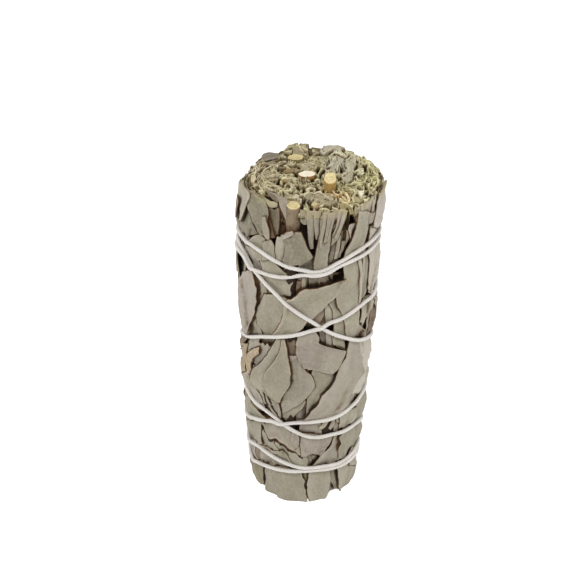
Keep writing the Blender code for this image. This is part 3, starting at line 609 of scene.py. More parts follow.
    ("right_fold_line_2", 0.15, ((359.8, 258, 360.9, 258), (359.6, 272, 360.8, 272), (359.3, 288, 360.6, 288), (359, 303, 360.3, 303)), dict(tone=0.8, warm=0.3, ridge=0.3, folds=(), flat=0.2)),
    ("leaf_right_smooth", 0.35, ((360.3, 213, 366.7, 212), (357, 229, 365.7, 229), (353, 240, 364.2, 240), (348, 251, 362.5, 250), (345.4, 265, 360.9, 265), (344.8, 280, 359.4, 280), (337.3, 295, 359.7, 295), (339, 306, 359.7, 306), (345, 317, 358.2, 318), (348, 337, 356.7, 337)), dict(tone=0.6, warm=0.25, crumple=0.05, folds=((0.5, 0.75, 0, 0.35, 0.7),))),
    ("right_light_strip", 0.9, ((369, 293.5, 372.3, 291.5), (364.3, 303, 368.2, 305), (360.3, 321, 362.3, 323)), dict(tone=0.8, warm=0.35, ridge=0.3)),
    ("leaf_right_narrow", 0.4, ((372, 297, 377, 298), (373, 315, 375.8, 315), (370.8, 335, 373.8, 335)), dict(tone=0.55, warm=0.5)),
    ("right_small_tip", 1.2, ((359.5, 325.5, 361, 325.2), (357, 336, 363.7, 336)), dict(tone=0.7, warm=0.7, tan=0.3)),
    # between the third and fourth turns
    ("leaf_left_long", 0.3, ((243, 273, 250, 271), (240.5, 290, 257.2, 290), (240.5, 303, 256.8, 303), (241.5, 313, 256.2, 311.5), (242.5, 322, 251.8, 321), (241.5, 334, 248, 332)), dict(tone=0.72, warm=0.9, lifts=(0, 0.5), crumple=0.06, edges=(1, 1, 1, 1.2))),
    ("left_green_panel", 1.0, ((255.5, 309, 260, 308), (252.3, 320, 258.7, 320), (248, 333, 260.5, 334)), dict(tone=0.5, warm=0.1)),
    ("leaf_oval", 0.6, ((266, 295, 284.9, 298.5), (260, 308, 284.5, 308), (258, 319, 282.8, 319), (259.3, 328, 279.8, 328), (263, 335, 272, 335)), dict(tone=0.54, warm=0.25, crumple=0.06, lifts=(0.1, 0.5), ends=("cut", "round"), edges=(1, 1.4, 1.6, 3.0))),
    ("brown_fold_1", 1.2, ((321.3, 306, 322.8, 306), (316.3, 313, 324, 311), (312, 320, 319.8, 323)), dict(tone=0.4, warm=0.9, tan=0.5)),
    ("leaf_fold_brown", 1.9, ((323.8, 310.5, 325.3, 310.5), (320.5, 318, 327, 318), (318, 326, 329, 327)), dict(tone=0.2, warm=1, tan=0.6)),
    ("pale_fold", 1.0, ((326, 305, 329, 304.5), (325.8, 313, 333.3, 312), (328.3, 326, 335, 324)), dict(tone=0.7, warm=0.35, ridge=0.3)),
    ("middle_panel_upper", 0.8, ((327.7, 299.5, 336.7, 295.5), (333, 309, 338.7, 306), (335.3, 318, 343.2, 316), (335.3, 329, 346.8, 331), (335.3, 338, 346, 340)), dict(tone=0.6, warm=0.2, folds=())),
    ("leaf_diagonal", 0.15, ((344.5, 280, 345.3, 281.4), (336.5, 282.6, 341.7, 286), (326, 286.8, 336.3, 295.3), (314, 289.5, 326.3, 303), (302.5, 290, 319.3, 312), (294, 297.5, 311.7, 319.3), (286, 301.5, 305.3, 326), (283, 317, 298.3, 333), (278, 328, 288, 337), (273, 335, 277, 339)), dict(tone=0.6, warm=0.2, lifts=(0.5, 0.25), rim=1.0, crumple=0.05, folds=(), edges=(1.0, 1.0, 1.8, 1.2))),
    ("left_below_long", 0.9, ((248.5, 338, 257.7, 338.5), (247, 350, 256.7, 349)), dict(tone=0.72, warm=0.4)),
    ("coil_outer", 0.5, ((243.6, 344, 246.5, 345), (243.6, 356, 246, 357), (243.8, 368, 246.5, 370), (245, 376, 248.5, 377)), dict(tone=0.42, warm=0.9, gold=0.35, ridge=0.4)),
    ("coil_inner", 0.15, ((258.3, 348.3, 258.3, 353.8), (252.5, 350.3, 254.2, 355.6), (247.6, 355.3, 251.4, 359.2), (246.2, 361.5, 250, 363.5), (247, 368, 250.3, 368.3), (249.3, 372.8, 251.3, 371.3)), dict(tone=0.6, warm=0.9, gold=0.45, ridge=0.5, folds=(), rim=0.6, bend=0.8, crumple=0.06, edges=(1, 1, 1.4, 2.6))),
    ("coil_hole", 2.2, ((249.5, 355, 257.5, 355), (249, 362, 257.5, 362), (249.5, 369, 256.5, 368)), dict(tone=0.2, warm=1.0, tan=1.0, shade=0.7, folds=())),
    ("coil_end", 0.8, ((249.5, 367, 254.3, 365.5), (249, 374, 252.7, 374)), dict(tone=0.5, warm=0.9, gold=0.2)),
    ("small_serrated", 0.9, ((258.3, 344.5, 271.3, 347.5), (257, 354, 268, 356), (255, 362, 262.5, 362), (257.3, 367, 259.5, 367)), dict(tone=0.62, warm=0.55, ends=("torn", "cut"), crumple=0.15)),
    ("brown_beside_kite", 1.5, ((284, 337, 293, 337), (286.5, 347, 297, 345), (289, 357, 297, 353)), dict(tone=0.25, warm=0.8, tan=0.4, ridge=0.6, shade=0.15)),
    # below the fourth turn
    ("leaf_pink", 0.8, ((288, 355.5, 299.7, 356), (289, 367, 303.3, 368.5), (290, 377, 311.3, 377), (289, 386, 313.4, 386), (283.8, 396, 305.8, 397), (280.3, 404, 295.3, 405.3), (281, 411.5, 284, 412)), dict(tone=0.52, warm=0.55, crumple=0.08, lifts=(0, 0.3), edges=(1, 1, 1, 1.6))),
    ("under_kite", 0.7, ((254, 371, 264, 376), (252.7, 381, 264.5, 384.5), (257, 389.5, 264, 388.5)), dict(tone=0.5, warm=0.3)),
    ("torn_strip_1", 0.6, ((257.3, 383.5, 263.3, 385), (258.5, 389.5, 263.6, 391.5), (261, 395.5, 264.3, 398), (262.8, 401, 265.3, 403)), dict(tone=0.65, warm=0.3, crumple=0.2, folds=(), edges=(1, 1, 3.0, 3.0))),
    ("torn_strip_2", 0.7, ((263.8, 392, 265, 393), (263.9, 398.5, 267, 400), (265.7, 404.5, 269.6, 405.5), (269.5, 411, 273, 411.5), (273, 416.5, 276, 416.5)), dict(tone=0.68, warm=0.25, crumple=0.15, ridge=0.4, folds=(), edges=(1, 1, 3.0, 3.0))),
    ("torn_deep", 1.9, ((256, 386, 284, 390), (258, 394, 284, 398), (260, 402, 284, 406), (266, 413, 284, 416)), dict(tone=0.3, warm=0.7, shade=0.6, folds=())),
    ("leaf_torn_middle", 0.8, ((270.5, 392.5, 279.3, 397.5), (270.3, 399, 278.7, 400.5), (271.8, 405, 279.6, 404.5), (273, 411, 281, 410), (276.5, 418.5, 279.6, 417.5)), dict(tone=0.52, warm=0.3, crumple=0.2, ends=("torn", "torn"), folds=(), edges=(1, 1, 2.0, 3.0))),
    ("leaf_left_pale", 0.4, ((244.7, 374.5, 251.5, 372.5), (245.7, 383, 254, 384), (248, 393, 260.3, 394), (251.5, 402, 262.8, 401), (257, 411, 262.3, 410)), dict(tone=0.7, warm=0.75, lifts=(0, 0.3))),
    ("left_under_string", 0.3, ((247, 396, 248.7, 397), (243.7, 402, 251.3, 403), (245, 409, 258.3, 410), (248, 418, 265.3, 419)), dict(tone=0.6, warm=0.1)),
    ("under_crossing", 1.5, ((254, 404, 262, 402), (258, 412, 272, 411), (264, 421, 281, 422)), dict(tone=0.4, warm=0.4, shade=0.4)),
    ("right_under_crossing", 0.9, ((346, 393, 362, 388), (342, 403, 363, 400), (338, 412, 361, 409), (336, 420, 358, 418)), dict(tone=0.55, warm=0.3, ridges=0.3)),
    ("under_pink", 1.0, ((303, 397.7, 304.7, 402), (294, 404.3, 300.7, 408.7), (285, 409.3, 293.7, 415.3), (280.5, 415, 287.7, 423)), dict(tone=0.5, warm=0.15, edges=(1, 1, 1.6, 1.6))),
    ("leaf_diamond", 0.3, ((278.5, 337, 281.5, 337), (272.5, 349, 285.6, 350), (264.5, 360, 287.8, 362), (257.3, 367, 289, 370), (253.8, 375, 289.3, 377), (254.3, 381, 287.9, 384), (257.6, 387, 284.5, 390), (264.5, 390.3, 281.2, 396.5), (272, 398.6, 278.7, 400.3)), dict(tone=0.62, warm=0.25, lifts=(0.3, 0.1), crumple=0.05, folds=(), bend=0.35, edges=(1, 1, 2.4, 1.4))),
    ("diamond_near", 0.0, ((281.5, 341, 283.7, 341), (281.4, 348, 286, 348.5), (277.8, 356, 287.8, 358), (272, 365, 289.2, 367), (265.5, 374, 289.8, 376), (263.6, 382, 288.6, 384), (266.5, 389.5, 285.6, 391), (271.5, 396, 281.6, 396.8), (277.7, 400.8, 279.7, 400.8)), dict(tone=0.5, warm=0.2, lifts=(0.35, 0.3), crumple=0.05, thick=0.22, folds=((0.6, -0.2, 12, 0.25, 1.6),), bend=0.45, rim=0.7, edges=(1, 1.4, 0.8, 1.8))),
    ("square_above", 0.9, ((334, 335.5, 345.3, 336.5), (334, 344.5, 344.5, 350)), dict(tone=0.68, warm=0.15)),
    ("square_beside", 1.2, ((327.5, 332, 333.3, 334), (327.3, 347, 333.3, 347)), dict(tone=0.6, warm=0.7, ridge=0.6)),
    ("leaf_long_green", 0.9, ((313.3, 367, 334, 371.5), (312.3, 378, 332.7, 380), (311.8, 386, 328.9, 387), (308.3, 393, 324, 393.7), (307.7, 404, 316.3, 404.3), (307.2, 417, 309.5, 417)), dict(tone=0.42, warm=0.05, crumple=0.06)),
    ("leaf_right_lower", 0.5, ((359, 339.5, 372.3, 340.5), (359.4, 356, 372, 357), (361.3, 370, 370.4, 371), (355.3, 382, 367.2, 382), (351.3, 392, 361.3, 392)), dict(tone=1.07, warm=0.5, folds=((0.32, 0, 88, 0.3, 0.8), (0.5, 0.2, 0, 0.2, 1.5)), edges=(1, 1, 3.2, 1))),
    ("leaf_long_smooth", 0.3, ((351.5, 340, 359.5, 340), (345, 357, 359.5, 356), (338, 370, 361.2, 371), (332.8, 382, 355, 382), (323.8, 395, 348.4, 395), (315.3, 406, 344.8, 407.3), (305, 420.5, 326, 419)), dict(tone=0.64, warm=0.6, crumple=0.05, lifts=(0.2, 0.3), folds=(), edges=(1.2, 1, 2.2, 1.6))),
    ("leaf_square", 0.1, ((299.5, 333.5, 315.5, 333), (298, 339, 318.6, 338.5), (297.3, 343, 317.6, 343.5), (297, 346, 327, 347), (297, 348.3, 345.3, 350), (297.5, 353, 341.5, 357.4), (299.5, 359, 338.2, 364.4), (302.5, 364, 333.4, 371.8), (304.5, 367.3, 331.5, 373.6)), dict(tone=0.56, warm=0.75, crumple=0.06, bend=0.15, wave=0.02, folds=((0.86, 0.0, 90, 0.6, 1.3),), edges=(1.8, 1.6, 1.2, 1.4))),
    ("right_lower_strip", 0.7, ((366, 386.5, 368.2, 384.5), (357.3, 399, 366.3, 397), (351, 411, 363.8, 411.5), (348, 420, 361, 421)), dict(tone=0.55, warm=0.3, ridges=0.3)),
    ("right_lower_panel", 0.6, ((339.3, 413.5, 355.3, 407.5), (339.8, 421, 355.3, 417), (340.8, 429, 350.3, 425)), dict(tone=0.65, warm=0.15)),
    ("lower_upper_square", 1.0, ((298.5, 422, 319.5, 420), (300.3, 431, 320.2, 431.5), (301.3, 437, 321.2, 438)), dict(tone=0.46, warm=0.65, edges=(1, 1, 1, 1.5))),
    ("curved_strip", 0.75, ((328.6, 415.5, 330.2, 415.5), (326.4, 420.5, 328.4, 421), (323, 424.8, 324.6, 426), (319.8, 427.4, 320.5, 428.2)), dict(tone=0.72, warm=0.2, folds=(), ridge=0.2, edges=(1, 1, 1, 2.4))),
    ("curved_strip_2", 1.0, ((333.3, 416, 334.3, 416), (331.6, 422, 332.8, 422.5), (328.8, 427.5, 330, 428.5)), dict(tone=0.6, warm=0.4, folds=(), ridge=0.3, edges=(1, 1, 1.6, 2.4))),
    # the lower end
    ("leaf_left_lower", 0.6, ((247.2, 417, 261.5, 420), (247.8, 428, 261, 430), (248.8, 437.5, 262.3, 443)), dict(tone=0.6, warm=0.3, crumple=0.2, folds=((0.5, -0.2, 20, -0.6, 1.0),))),
    ("torn_under_left", 0.85, ((259.5, 423, 268.5, 430), (260, 434, 274, 440.5), (260.5, 445, 282, 452)), dict(tone=0.62, warm=0.25, folds=(), crumple=0.05, flat=0.3)),
    ("torn_backing", 1.5, ((258, 428, 290, 432), (259, 440, 300, 446), (262, 456, 304, 464)), dict(tone=0.4, warm=0.5, shade=0.3, folds=(), crumple=0.04)),
    ("brown_ridge", 1.3, ((270.5, 442, 278, 443), (273.5, 449, 282.5, 452), (280.5, 458, 292, 462)), dict(tone=0.5, warm=0.9, tan=0.2, ridge=0.5)),
    ("lower_band", 1.1, ((277, 442, 277.3, 447.7), (286, 443.5, 286, 455.7), (293, 448, 293, 462), (301, 451.5, 301, 466), (310, 453.5, 309.5, 467), (319, 452.5, 314, 466)), dict(tone=0.6, warm=0.15, crumple=0.1)),
    ("leaf_torn_lower", 0.5, ((263, 418, 263.4, 422.5), (267, 420, 265.4, 428.8), (272, 422, 269.6, 436.2), (280, 424.5, 276, 436.6), (285, 427.5, 280, 440.6), (290, 430, 286, 443.2), (295, 432.5, 292, 446.7), (299.5, 436, 298, 449.8), (302, 441, 302, 451.6)), dict(tone=0.58, warm=0.45, wave=0.05, lifts=(0, 0.4), rim=1.0, crumple=0.1, bend=0.15, folds=((0.8, 0.2, 80, 0.4, 0.7), (0.65, -0.2, 75, 0.3, 0.6)), edges=(1, 1.5, 1, 6.5))),
    ("torn_hook", 0.3, ((292.5, 433.5, 291.5, 438.5), (296.5, 435.5, 293.5, 441), (298.6, 438.5, 295, 443.5), (298.4, 442.5, 296, 446)), dict(tone=0.5, warm=0.8, rim=0.8, thick=0.22, flat=0.4, crumple=0.1, folds=(), bend=0.4, edges=(1, 1.6, 4.5, 1))),
    ("lower_square", 0.35, ((300, 435, 333.5, 435.5), (301.4, 441, 329.6, 442), (302, 448, 325, 448.5), (302.6, 453.2, 319.3, 453.2)), dict(tone=0.56, warm=0.9, folds=(), bend=0.2, edges=(1, 2.8, 1.8, 2.8))),
    ("leaf_middle_panel", 0.6, ((336.5, 434.5, 345.2, 434.5), (332.5, 442, 341.3, 442), (327.3, 448.5, 340.2, 449), (321.5, 453.8, 339.6, 455), (316, 461, 339, 461), (312, 466, 338, 466)), dict(tone=0.62, warm=0.5, lifts=(0.5, 0), edges=(1, 1, 1.6, 1.8))),
    ("leaf_right_panel", 0.6, ((342.4, 430, 359.3, 421), (340.5, 435, 358.6, 430), (338.4, 442, 357.4, 441), (337.6, 450, 354, 449), (337.8, 457, 352, 456)), dict(tone=0.5, warm=0.15)),
    ("right_bump", 0.3, ((351, 449.5, 357.4, 446), (350, 457, 357.9, 456), (349, 463.5, 354.7, 463)), dict(tone=0.7, warm=0.3)),
    ("left_pinkish_panel", 0.5, ((248.5, 439.5, 256.5, 440.5), (249.5, 450, 257.3, 449), (252, 460, 259.3, 458)), dict(tone=0.65, warm=0.75)),
    ("lower_left_strip", 0.8, ((262, 445, 272.5, 449.5), (263.8, 457, 274.5, 461), (264.3, 465, 275.3, 468.5)), dict(tone=0.55, warm=0.5)),
    ("lower_left_panel", 0.65, ((272, 449.5, 282, 450), (273, 461, 291.3, 461), (275, 468.5, 293.3, 470.5)), dict(tone=0.5, warm=0.15, ridge=0.3)),
    ("foot_left_facet", 0.6, ((265.6, 464, 274.7, 468), (266.9, 477, 275.7, 480), (267, 488, 281.3, 493), (272.5, 496.6, 285.5, 500)), dict(tone=0.48, warm=0.3, lifts=(0.3, 0), folds=())),
    ("foot_bridge", 0.95, ((290, 450, 308.5, 452), (291, 459, 311, 460), (293, 468, 309, 468)), dict(tone=0.5, warm=0.3, folds=())),
    ("leaf_foot_left", 0.5, ((250.3, 456, 262.6, 461), (253, 468, 263.4, 470), (256, 482.3, 263.6, 482.5)), dict(tone=0.28, warm=0.3, ridge=0.3, tan=0.15, fresh=0.2, edges=(1, 1, 1, 2.4))),
    ("foot_backing", 1.1, ((258, 462, 273, 466), (259, 475, 274, 480), (261, 484, 278, 493)), dict(tone=0.2, warm=0.6, shade=0.35, folds=())),
    ("foot_narrow", 0.8, ((329, 465, 338.7, 464), (330, 478, 337.4, 477), (335, 488, 340, 488)), dict(tone=0.58, warm=0.15, ridge=0.3)),
    ("leaf_foot_wide", 0.3, ((273.5, 467, 299.3, 470.5), (274.6, 478, 302, 479), (276.5, 489, 304.6, 488), (280, 497, 305, 496), (286, 502.6, 304.6, 501.8)), dict(tone=0.5, warm=0.2, crumple=0.05, folds=((0.5, -0.4, -12, 0.3, 1.4),), lifts=(0, 0.2), tips=(0, 0.9), edges=(1, 1, 0.8, 1.2))),
    ("leaf_foot_middle", 0.4, ((311.8, 468, 329.4, 465.5), (308.6, 480, 329.4, 480), (308.3, 488, 327.8, 488), (310.6, 499.8, 324.8, 500.2)), dict(tone=0.62, warm=0.25, crumple=0.06, lifts=(0.3, 0), bend=0.3, tips=(0, 0.7), edges=(1, 1, 1.8, 1.2))),
    ("leaf_foot_right", 0.35, ((338.4, 462.5, 353, 459.5), (336.4, 473, 354, 469.5), (337.4, 481, 351, 478.5), (340, 489, 346.2, 489.3)), dict(tone=0.66, warm=0.3, lifts=(0.4, 0), folds=((0.4, 0.3, 5, 0.35, 1.4),), edges=(1, 1, 2.2, 1))),
)
for name, d, rows, manner in sorted(SEEN, key=lambda leaf: -leaf[1]):
    by_view(name, d, rows, **manner)
by_spine("brown_stub", [(math.radians(-92 + 2 * k), z, half) for k, (z, half) in enumerate(((89.6, 0.7), (91.5, 1.3), (94.0, 1.6), (96.6, 1.5)))], d=-1.1, ends=("round", "cut"), step=0.5, thick=0.5, tone=0.4, warm=1.0, tan=0.5, crumple=0.1, flat=0.2)
print("leaves", len(leaves), "highest", round(float(laid.h.max()), 2))


# --------------------------------------------------------------------------------------- materials
def node_material(name):
    material = bpy.data.materials.new(name)
    material.use_nodes = True
    tree = material.node_tree
    tree.nodes.clear()
    out = tree.nodes.new("ShaderNodeOutputMaterial")
    shader = tree.nodes.new("ShaderNodeBsdfPrincipled")
    tree.links.new(shader.outputs["BSDF"], out.inputs["Surface"])
    return material, tree, shader


def srgb(r, g, b):
    return (*(((c / 255 + 0.055) / 1.055) ** 2.4 if c > 10 else c / 255 / 12.92 for c in (r, g, b)), 1.0)


class Nodes:
    """Short hands for building one node tree."""

    def __init__(self, tree):
        self.tree = tree

    def link(self, value, socket):
        if isinstance(value, bpy.types.NodeSocket):
            self.tree.links.new(value, socket)
        else:
            socket.default_value = value

    def number(self, name):
        node = self.tree.nodes.new("ShaderNodeAttribute")
        node.attribute_name = name
        return node.outputs["Fac"]

    def vector(self, name):
        node = self.tree.nodes.new("ShaderNodeAttribute")
        node.attribute_name = name
        return node.outputs["Vector"]

    def math(self, kind, a, b=0.0, clamp=False):
        node = self.tree.nodes.new("ShaderNodeMath")
        node.operation = kind
        node.use_clamp = clamp
        self.link(a, node.inputs[0])
        self.link(b, node.inputs[1])
        return node.outputs[0]

    def mix(self, share, a, b, blend="MIX"):
        node = self.tree.nodes.new("ShaderNodeMix")
        node.data_type = "RGBA"
        node.blend_type = blend
        self.link(share, node.inputs["Factor"])
        self.link(a, node.inputs[6])
        self.link(b, node.inputs[7])
        return node.outputs[2]

    def noise(self, vector, scale, detail=3.0, rough=0.55, distortion=0.0):
        node = self.tree.nodes.new("ShaderNodeTexNoise")
        self.link(vector, node.inputs["Vector"])
        node.inputs["Scale"].default_value = scale
        node.inputs["Detail"].default_value = detail
        node.inputs["Roughness"].default_value = rough
        node.inputs["Distortion"].default_value = distortion
        return node.outputs["Fac"]

    def voronoi(self, vector, scale, feature="F1"):
        node = self.tree.nodes.new("ShaderNodeTexVoronoi")
        node.feature = feature
        self.link(vector, node.inputs["Vector"])
        node.inputs["Scale"].default_value = scale
        return node.outputs["Distance"]

    def ramp(self, value, stops):
        node = self.tree.nodes.new("ShaderNodeValToRGB")
        ramp = node.color_ramp
        while len(ramp.elements) < len(stops):
            ramp.elements.new(1.0)
        for element, (at, colour) in zip(ramp.elements, stops):
            element.position = at
            element.color = colour
        self.link(value, node.inputs[0])
        return node.outputs[0]

    def span(self, value, low, high, to_low=0.0, to_high=1.0):
        node = self.tree.nodes.new("ShaderNodeMapRange")
        node.interpolation_type = "SMOOTHSTEP"
        self.link(value, node.inputs["Value"])
        for key, number in (("From Min", low), ("From Max", high), ("To Min", to_low), ("To Max", to_high)):
            node.inputs[key].default_value = number
        return node.outputs[0]

    def bump(self, height, strength, distance):
        node = self.tree.nodes.new("ShaderNodeBump")
        node.inputs["Strength"].default_value = strength
        node.inputs["Distance"].default_value = distance
        self.link(height, node.inputs["Height"])
        return node.outputs["Normal"]

    def place(self):
        return self.tree.nodes.new("ShaderNodeTexCoord").outputs["Object"]

    def with_painted_shade(self, colour, deep):
        """Painted shade: browner where a spot lies a little deep, near black where it lies far in."""
        browner = self.mix(1.0, colour, srgb(166, 138, 104), "MULTIPLY")
        colour = self.mix(self.span(deep, 0.0, 0.55), colour, browner)
        return self.mix(self.span(deep, 0.4, 1.0, 0.0, 0.94), colour, srgb(31, 18, 7))


def leaf_material(name):
    material, tree, shader = node_material(name)
    n = Nodes(tree)
    place = n.place()
    tone, warm, tan = n.number("tone"), n.number("warm"), n.number("tan")
    rim, deep, blade = n.number("rim"), n.number("deep"), n.vector("blade")

    patches = n.noise(place, 150.0, 4.0, 0.6)
    fine = n.noise(place, 1100.0, 4.0, 0.7)
    grain = n.noise(place, 3600.0, 2.0, 0.6)
    green = n.ramp(tone, ((0.0, srgb(90, 84, 64)), (0.5, srgb(142, 136, 116)), (1.0, srgb(182, 177, 159))))
    pink = n.ramp(tone, ((0.0, srgb(92, 77, 62)), (0.5, srgb(144, 134, 123)), (1.0, srgb(184, 175, 165))))
    warmth = n.math("ADD", warm, n.math("MULTIPLY", n.math("SUBTRACT", patches, 0.5), 1.3), True)
    colour = n.mix(warmth, green, pink)
    olive = n.span(n.noise(place, 90.0, 3.0, 0.5), 0.5, 0.75)
    colour = n.mix(n.math("MULTIPLY", olive, 0.35), colour, srgb(140, 131, 104))
    colour = n.mix(n.math("MULTIPLY", n.span(fine, 0.42, 0.7), 0.22), colour, srgb(190, 185, 172))
    colour = n.mix(n.math("MULTIPLY", n.span(fine, 0.5, 0.25), 0.25), colour, srgb(126, 117, 99))
    colour = n.mix(n.math("MULTIPLY", n.span(grain, 0.48, 0.75), 0.16), colour, srgb(104, 96, 80))
    brown = n.mix(n.span(patches, 0.35, 0.65), srgb(94, 68, 44), srgb(140, 112, 80))
    colour = n.mix(n.math("MULTIPLY", tan, 0.75), colour, brown)
    colour = n.mix(n.number("gold"), colour, n.mix(n.span(fine, 0.35, 0.65), srgb(170, 142, 98), srgb(206, 182, 138)))

    # veins: a midrib with slanting side veins, and the small net between them
    parts = tree.nodes.new("ShaderNodeSeparateXYZ")
    tree.links.new(blade, parts.inputs[0])
    across, along = parts.outputs[0], parts.outputs[1]
    off = n.math("ABSOLUTE", across)
    wobble = n.math("MULTIPLY", n.math("SUBTRACT", n.noise(blade, 0.5, 2.0), 0.5), 1.8)
    slanted = n.math("ADD", n.math("SUBTRACT", along, n.math("MULTIPLY", off, 0.95)), wobble)
    side = n.math("ABSOLUTE", n.math("SINE", n.math("MULTIPLY", slanted, math.pi / 2.9)))
    side_vein = n.math("MULTIPLY", n.span(side, 0.0, 0.16, 1.0, 0.0), n.span(off, 0.2, 4.5, 1.0, 0.2))
    midrib = n.span(off, 0.04, 0.26, 1.0, 0.0)
    net = n.span(n.voronoi(blade, 1.6, "DISTANCE_TO_EDGE"), 0.0, 0.14, 1.0, 0.0)
    veins = n.math("MAXIMUM", n.math("MULTIPLY", midrib, 0.7), n.math("MULTIPLY", side_vein, 0.5))
    colour = n.mix(n.math("MULTIPLY", veins, 0.22), colour, srgb(190, 180, 160))
    colour = n.mix(n.math("MULTIPLY", net, 0.12), colour, srgb(112, 104, 86))

    # some are greener, as are leaf ends at the cut, raggedly
    colour = n.mix(n.math("MULTIPLY", n.number("fresh"), 0.8), colour, n.mix(tone, srgb(128, 124, 78), srgb(196, 192, 142)))
    height_at = tree.nodes.new("ShaderNodeSeparateXYZ")
    tree.links.new(place, height_at.inputs[0])
    at_cut = n.math("MULTIPLY", n.span(n.math("ADD", height_at.outputs[2], n.math("MULTIPLY", n.math("SUBTRACT", fine, 0.5), 0.005)), 0.0992, 0.1019), n.math("MULTIPLY", n.math("ADD", 1.0, n.number("fresh"), True), 0.75))
    colour = n.mix(at_cut, colour, n.mix(n.span(patches, 0.4, 0.6), srgb(178, 171, 120), srgb(160, 146, 112)))

    # rims get a paler painted highlight, with the leaf's own reddish tan behind them, and crevices get painted shade
    edge = n.math("MULTIPLY", rim, n.span(n.noise(place, 420.0, 3.0), 0.32, 0.62))
    colour = n.mix(n.math("MULTIPLY", edge, 0.62), colour, srgb(202, 190, 172))
    colour = n.mix(n.math("MULTIPLY", n.math("MULTIPLY", rim, n.span(patches, 0.6, 0.45)), 0.35), colour, srgb(136, 104, 76))
    colour = n.with_painted_shade(colour, deep)
    n.link(colour, shader.inputs["Base Color"])
    n.link(n.span(fine, 0.2, 0.8, 0.82, 0.97), shader.inputs["Roughness"])
    shader.inputs["Specular IOR Level"].default_value = 0.2
    shader.inputs["Sheen Weight"].default_value = 0.06
    shader.inputs["Sheen Roughness"].default_value = 0.5
    height = n.math("ADD", n.math("MULTIPLY", veins, -0.5), n.math("MULTIPLY", net, -0.4))
    height = n.math("ADD", height, n.math("MULTIPLY", fine, 0.9))
    height = n.math("ADD", height, n.math("MULTIPLY", grain, 0.4))
    n.link(n.bump(height, 0.7, 0.00014), shader.inputs["Normal"])
    return material


def cut_material(name):
    """The cut ends of pressed leaves: pale green and tan edges, with a painted highlight on their crests and painted
    shade down their sides, near dark brown in the gaps between them and in recesses.
    """
    material, tree, shader = node_material(name)
    n = Nodes(tree)
    place = n.place()
    tone, fresh, grey, gold = n.number("tone"), n.number("fresh"), n.number("grey"), n.number("gold")
    off, deep = n.number("off"), n.number("deep")
    blotch = n.noise(place, 330.0, 4.0, 0.6)
    fine = n.noise(place, 1700.0, 4.0, 0.75)
    taupe = n.ramp(tone, ((0.0, srgb(104, 88, 64)), (0.45, srgb(164, 150, 118)), (0.8, srgb(214, 204, 170)), (1.0, srgb(244, 236, 208))))
    green = n.ramp(tone, ((0.0, srgb(108, 100, 58)), (0.45, srgb(170, 163, 113)), (0.8, srgb(217, 211, 163)), (1.0, srgb(242, 239, 200))))
    ash = n.ramp(tone, ((0.0, srgb(108, 101, 86)), (0.45, srgb(166, 160, 142)), (0.8, srgb(204, 199, 182)), (1.0, srgb(230, 226, 214))))
    amber = n.ramp(tone, ((0.0, srgb(112, 76, 30)), (0.45, srgb(172, 134, 72)), (0.8, srgb(224, 194, 134)), (1.0, srgb(252, 230, 184))))
    colour = n.mix(n.math("ADD", fresh, n.math("MULTIPLY", n.math("SUBTRACT", blotch, 0.5), 0.7), True), taupe, green)
    colour = n.mix(grey, colour, ash)
    colour = n.mix(gold, colour, amber)
    # painted highlight on the crests of the edges; painted shade down their sides and, darkest, in the gaps between
    # them
    crest_highlight = n.span(off, 0.04, -0.05)
    colour = n.mix(n.math("MULTIPLY", n.math("MULTIPLY", crest_highlight, n.span(fine, 0.4, 0.6)), 0.35), colour, srgb(226, 219, 182))
    colour = n.mix(n.math("MULTIPLY", n.span(fine, 0.47, 0.33), 0.45), colour, srgb(104, 88, 58))
    side = n.mix(1.0, colour, srgb(148, 133, 106), "MULTIPLY")
    colour = n.mix(n.span(off, 0.0, 0.14, 0.0, 0.85), colour, side)
    colour = n.mix(n.span(off, 0.16, 0.42, 0.0, 0.75), colour, srgb(56, 39, 16))
    colour = n.with_painted_shade(colour, deep)
    n.link(colour, shader.inputs["Base Color"])
    n.link(n.span(fine, 0.2, 0.8, 0.78, 0.95), shader.inputs["Roughness"])
    shader.inputs["Specular IOR Level"].default_value = 0.2
    height = n.math("ADD", n.math("MULTIPLY", fine, 1.0), n.math("MULTIPLY", blotch, 0.6))
    n.link(n.bump(height, 0.8, 0.0002), shader.inputs["Normal"])
    return material


leaf_look = leaf_material("dry_leaf")
cut_look = cut_material("cut_leaves")


def set_values(mesh, name, values):
    layer = mesh.attributes.new(name, "FLOAT", "POINT")
    layer.data.foreach_set("value", np.ascontiguousarray(values, np.float32).ravel())


def set_vectors(mesh, name, values):
    layer = mesh.attributes.new(name, "FLOAT_VECTOR", "POINT")
    layer.data.foreach_set("vector", np.ascontiguousarray(values, np.float32).ravel())


triangles = {}


leaf_meshes = []


def new_piece(name, points, faces, look, slot, replaced=(), crisp=38.0):
    mesh = bpy.data.meshes.new(name)
    mesh.from_pydata([tuple(p) for p in points], [], [tuple(int(i) for i in f) for f in faces])
    mesh.update()
    mesh.shade_smooth()
    if crisp:
        mesh.set_sharp_from_angle(angle=math.radians(crisp))
    obj = bpy.data.objects.new(name, mesh)
    bpy.context.scene.collection.objects.link(obj)
    mesh.materials.append(look)
    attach(obj, "root")
    if replaced:
        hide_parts(*replaced)
    triangles[slot] = triangles.get(slot, 0) + sum(len(p.vertices) - 2 for p in mesh.polygons)
    if slot == "leaf":
        leaf_meshes.append(mesh)
    return obj


def outward(obj):
    """Turns the faces of a closed mesh to face out."""
    bm = bmesh.new()
    bm.from_mesh(obj.data)
    bmesh.ops.recalc_face_normals(bm, faces=bm.faces)
    bm.to_mesh(obj.data)
    bm.free()
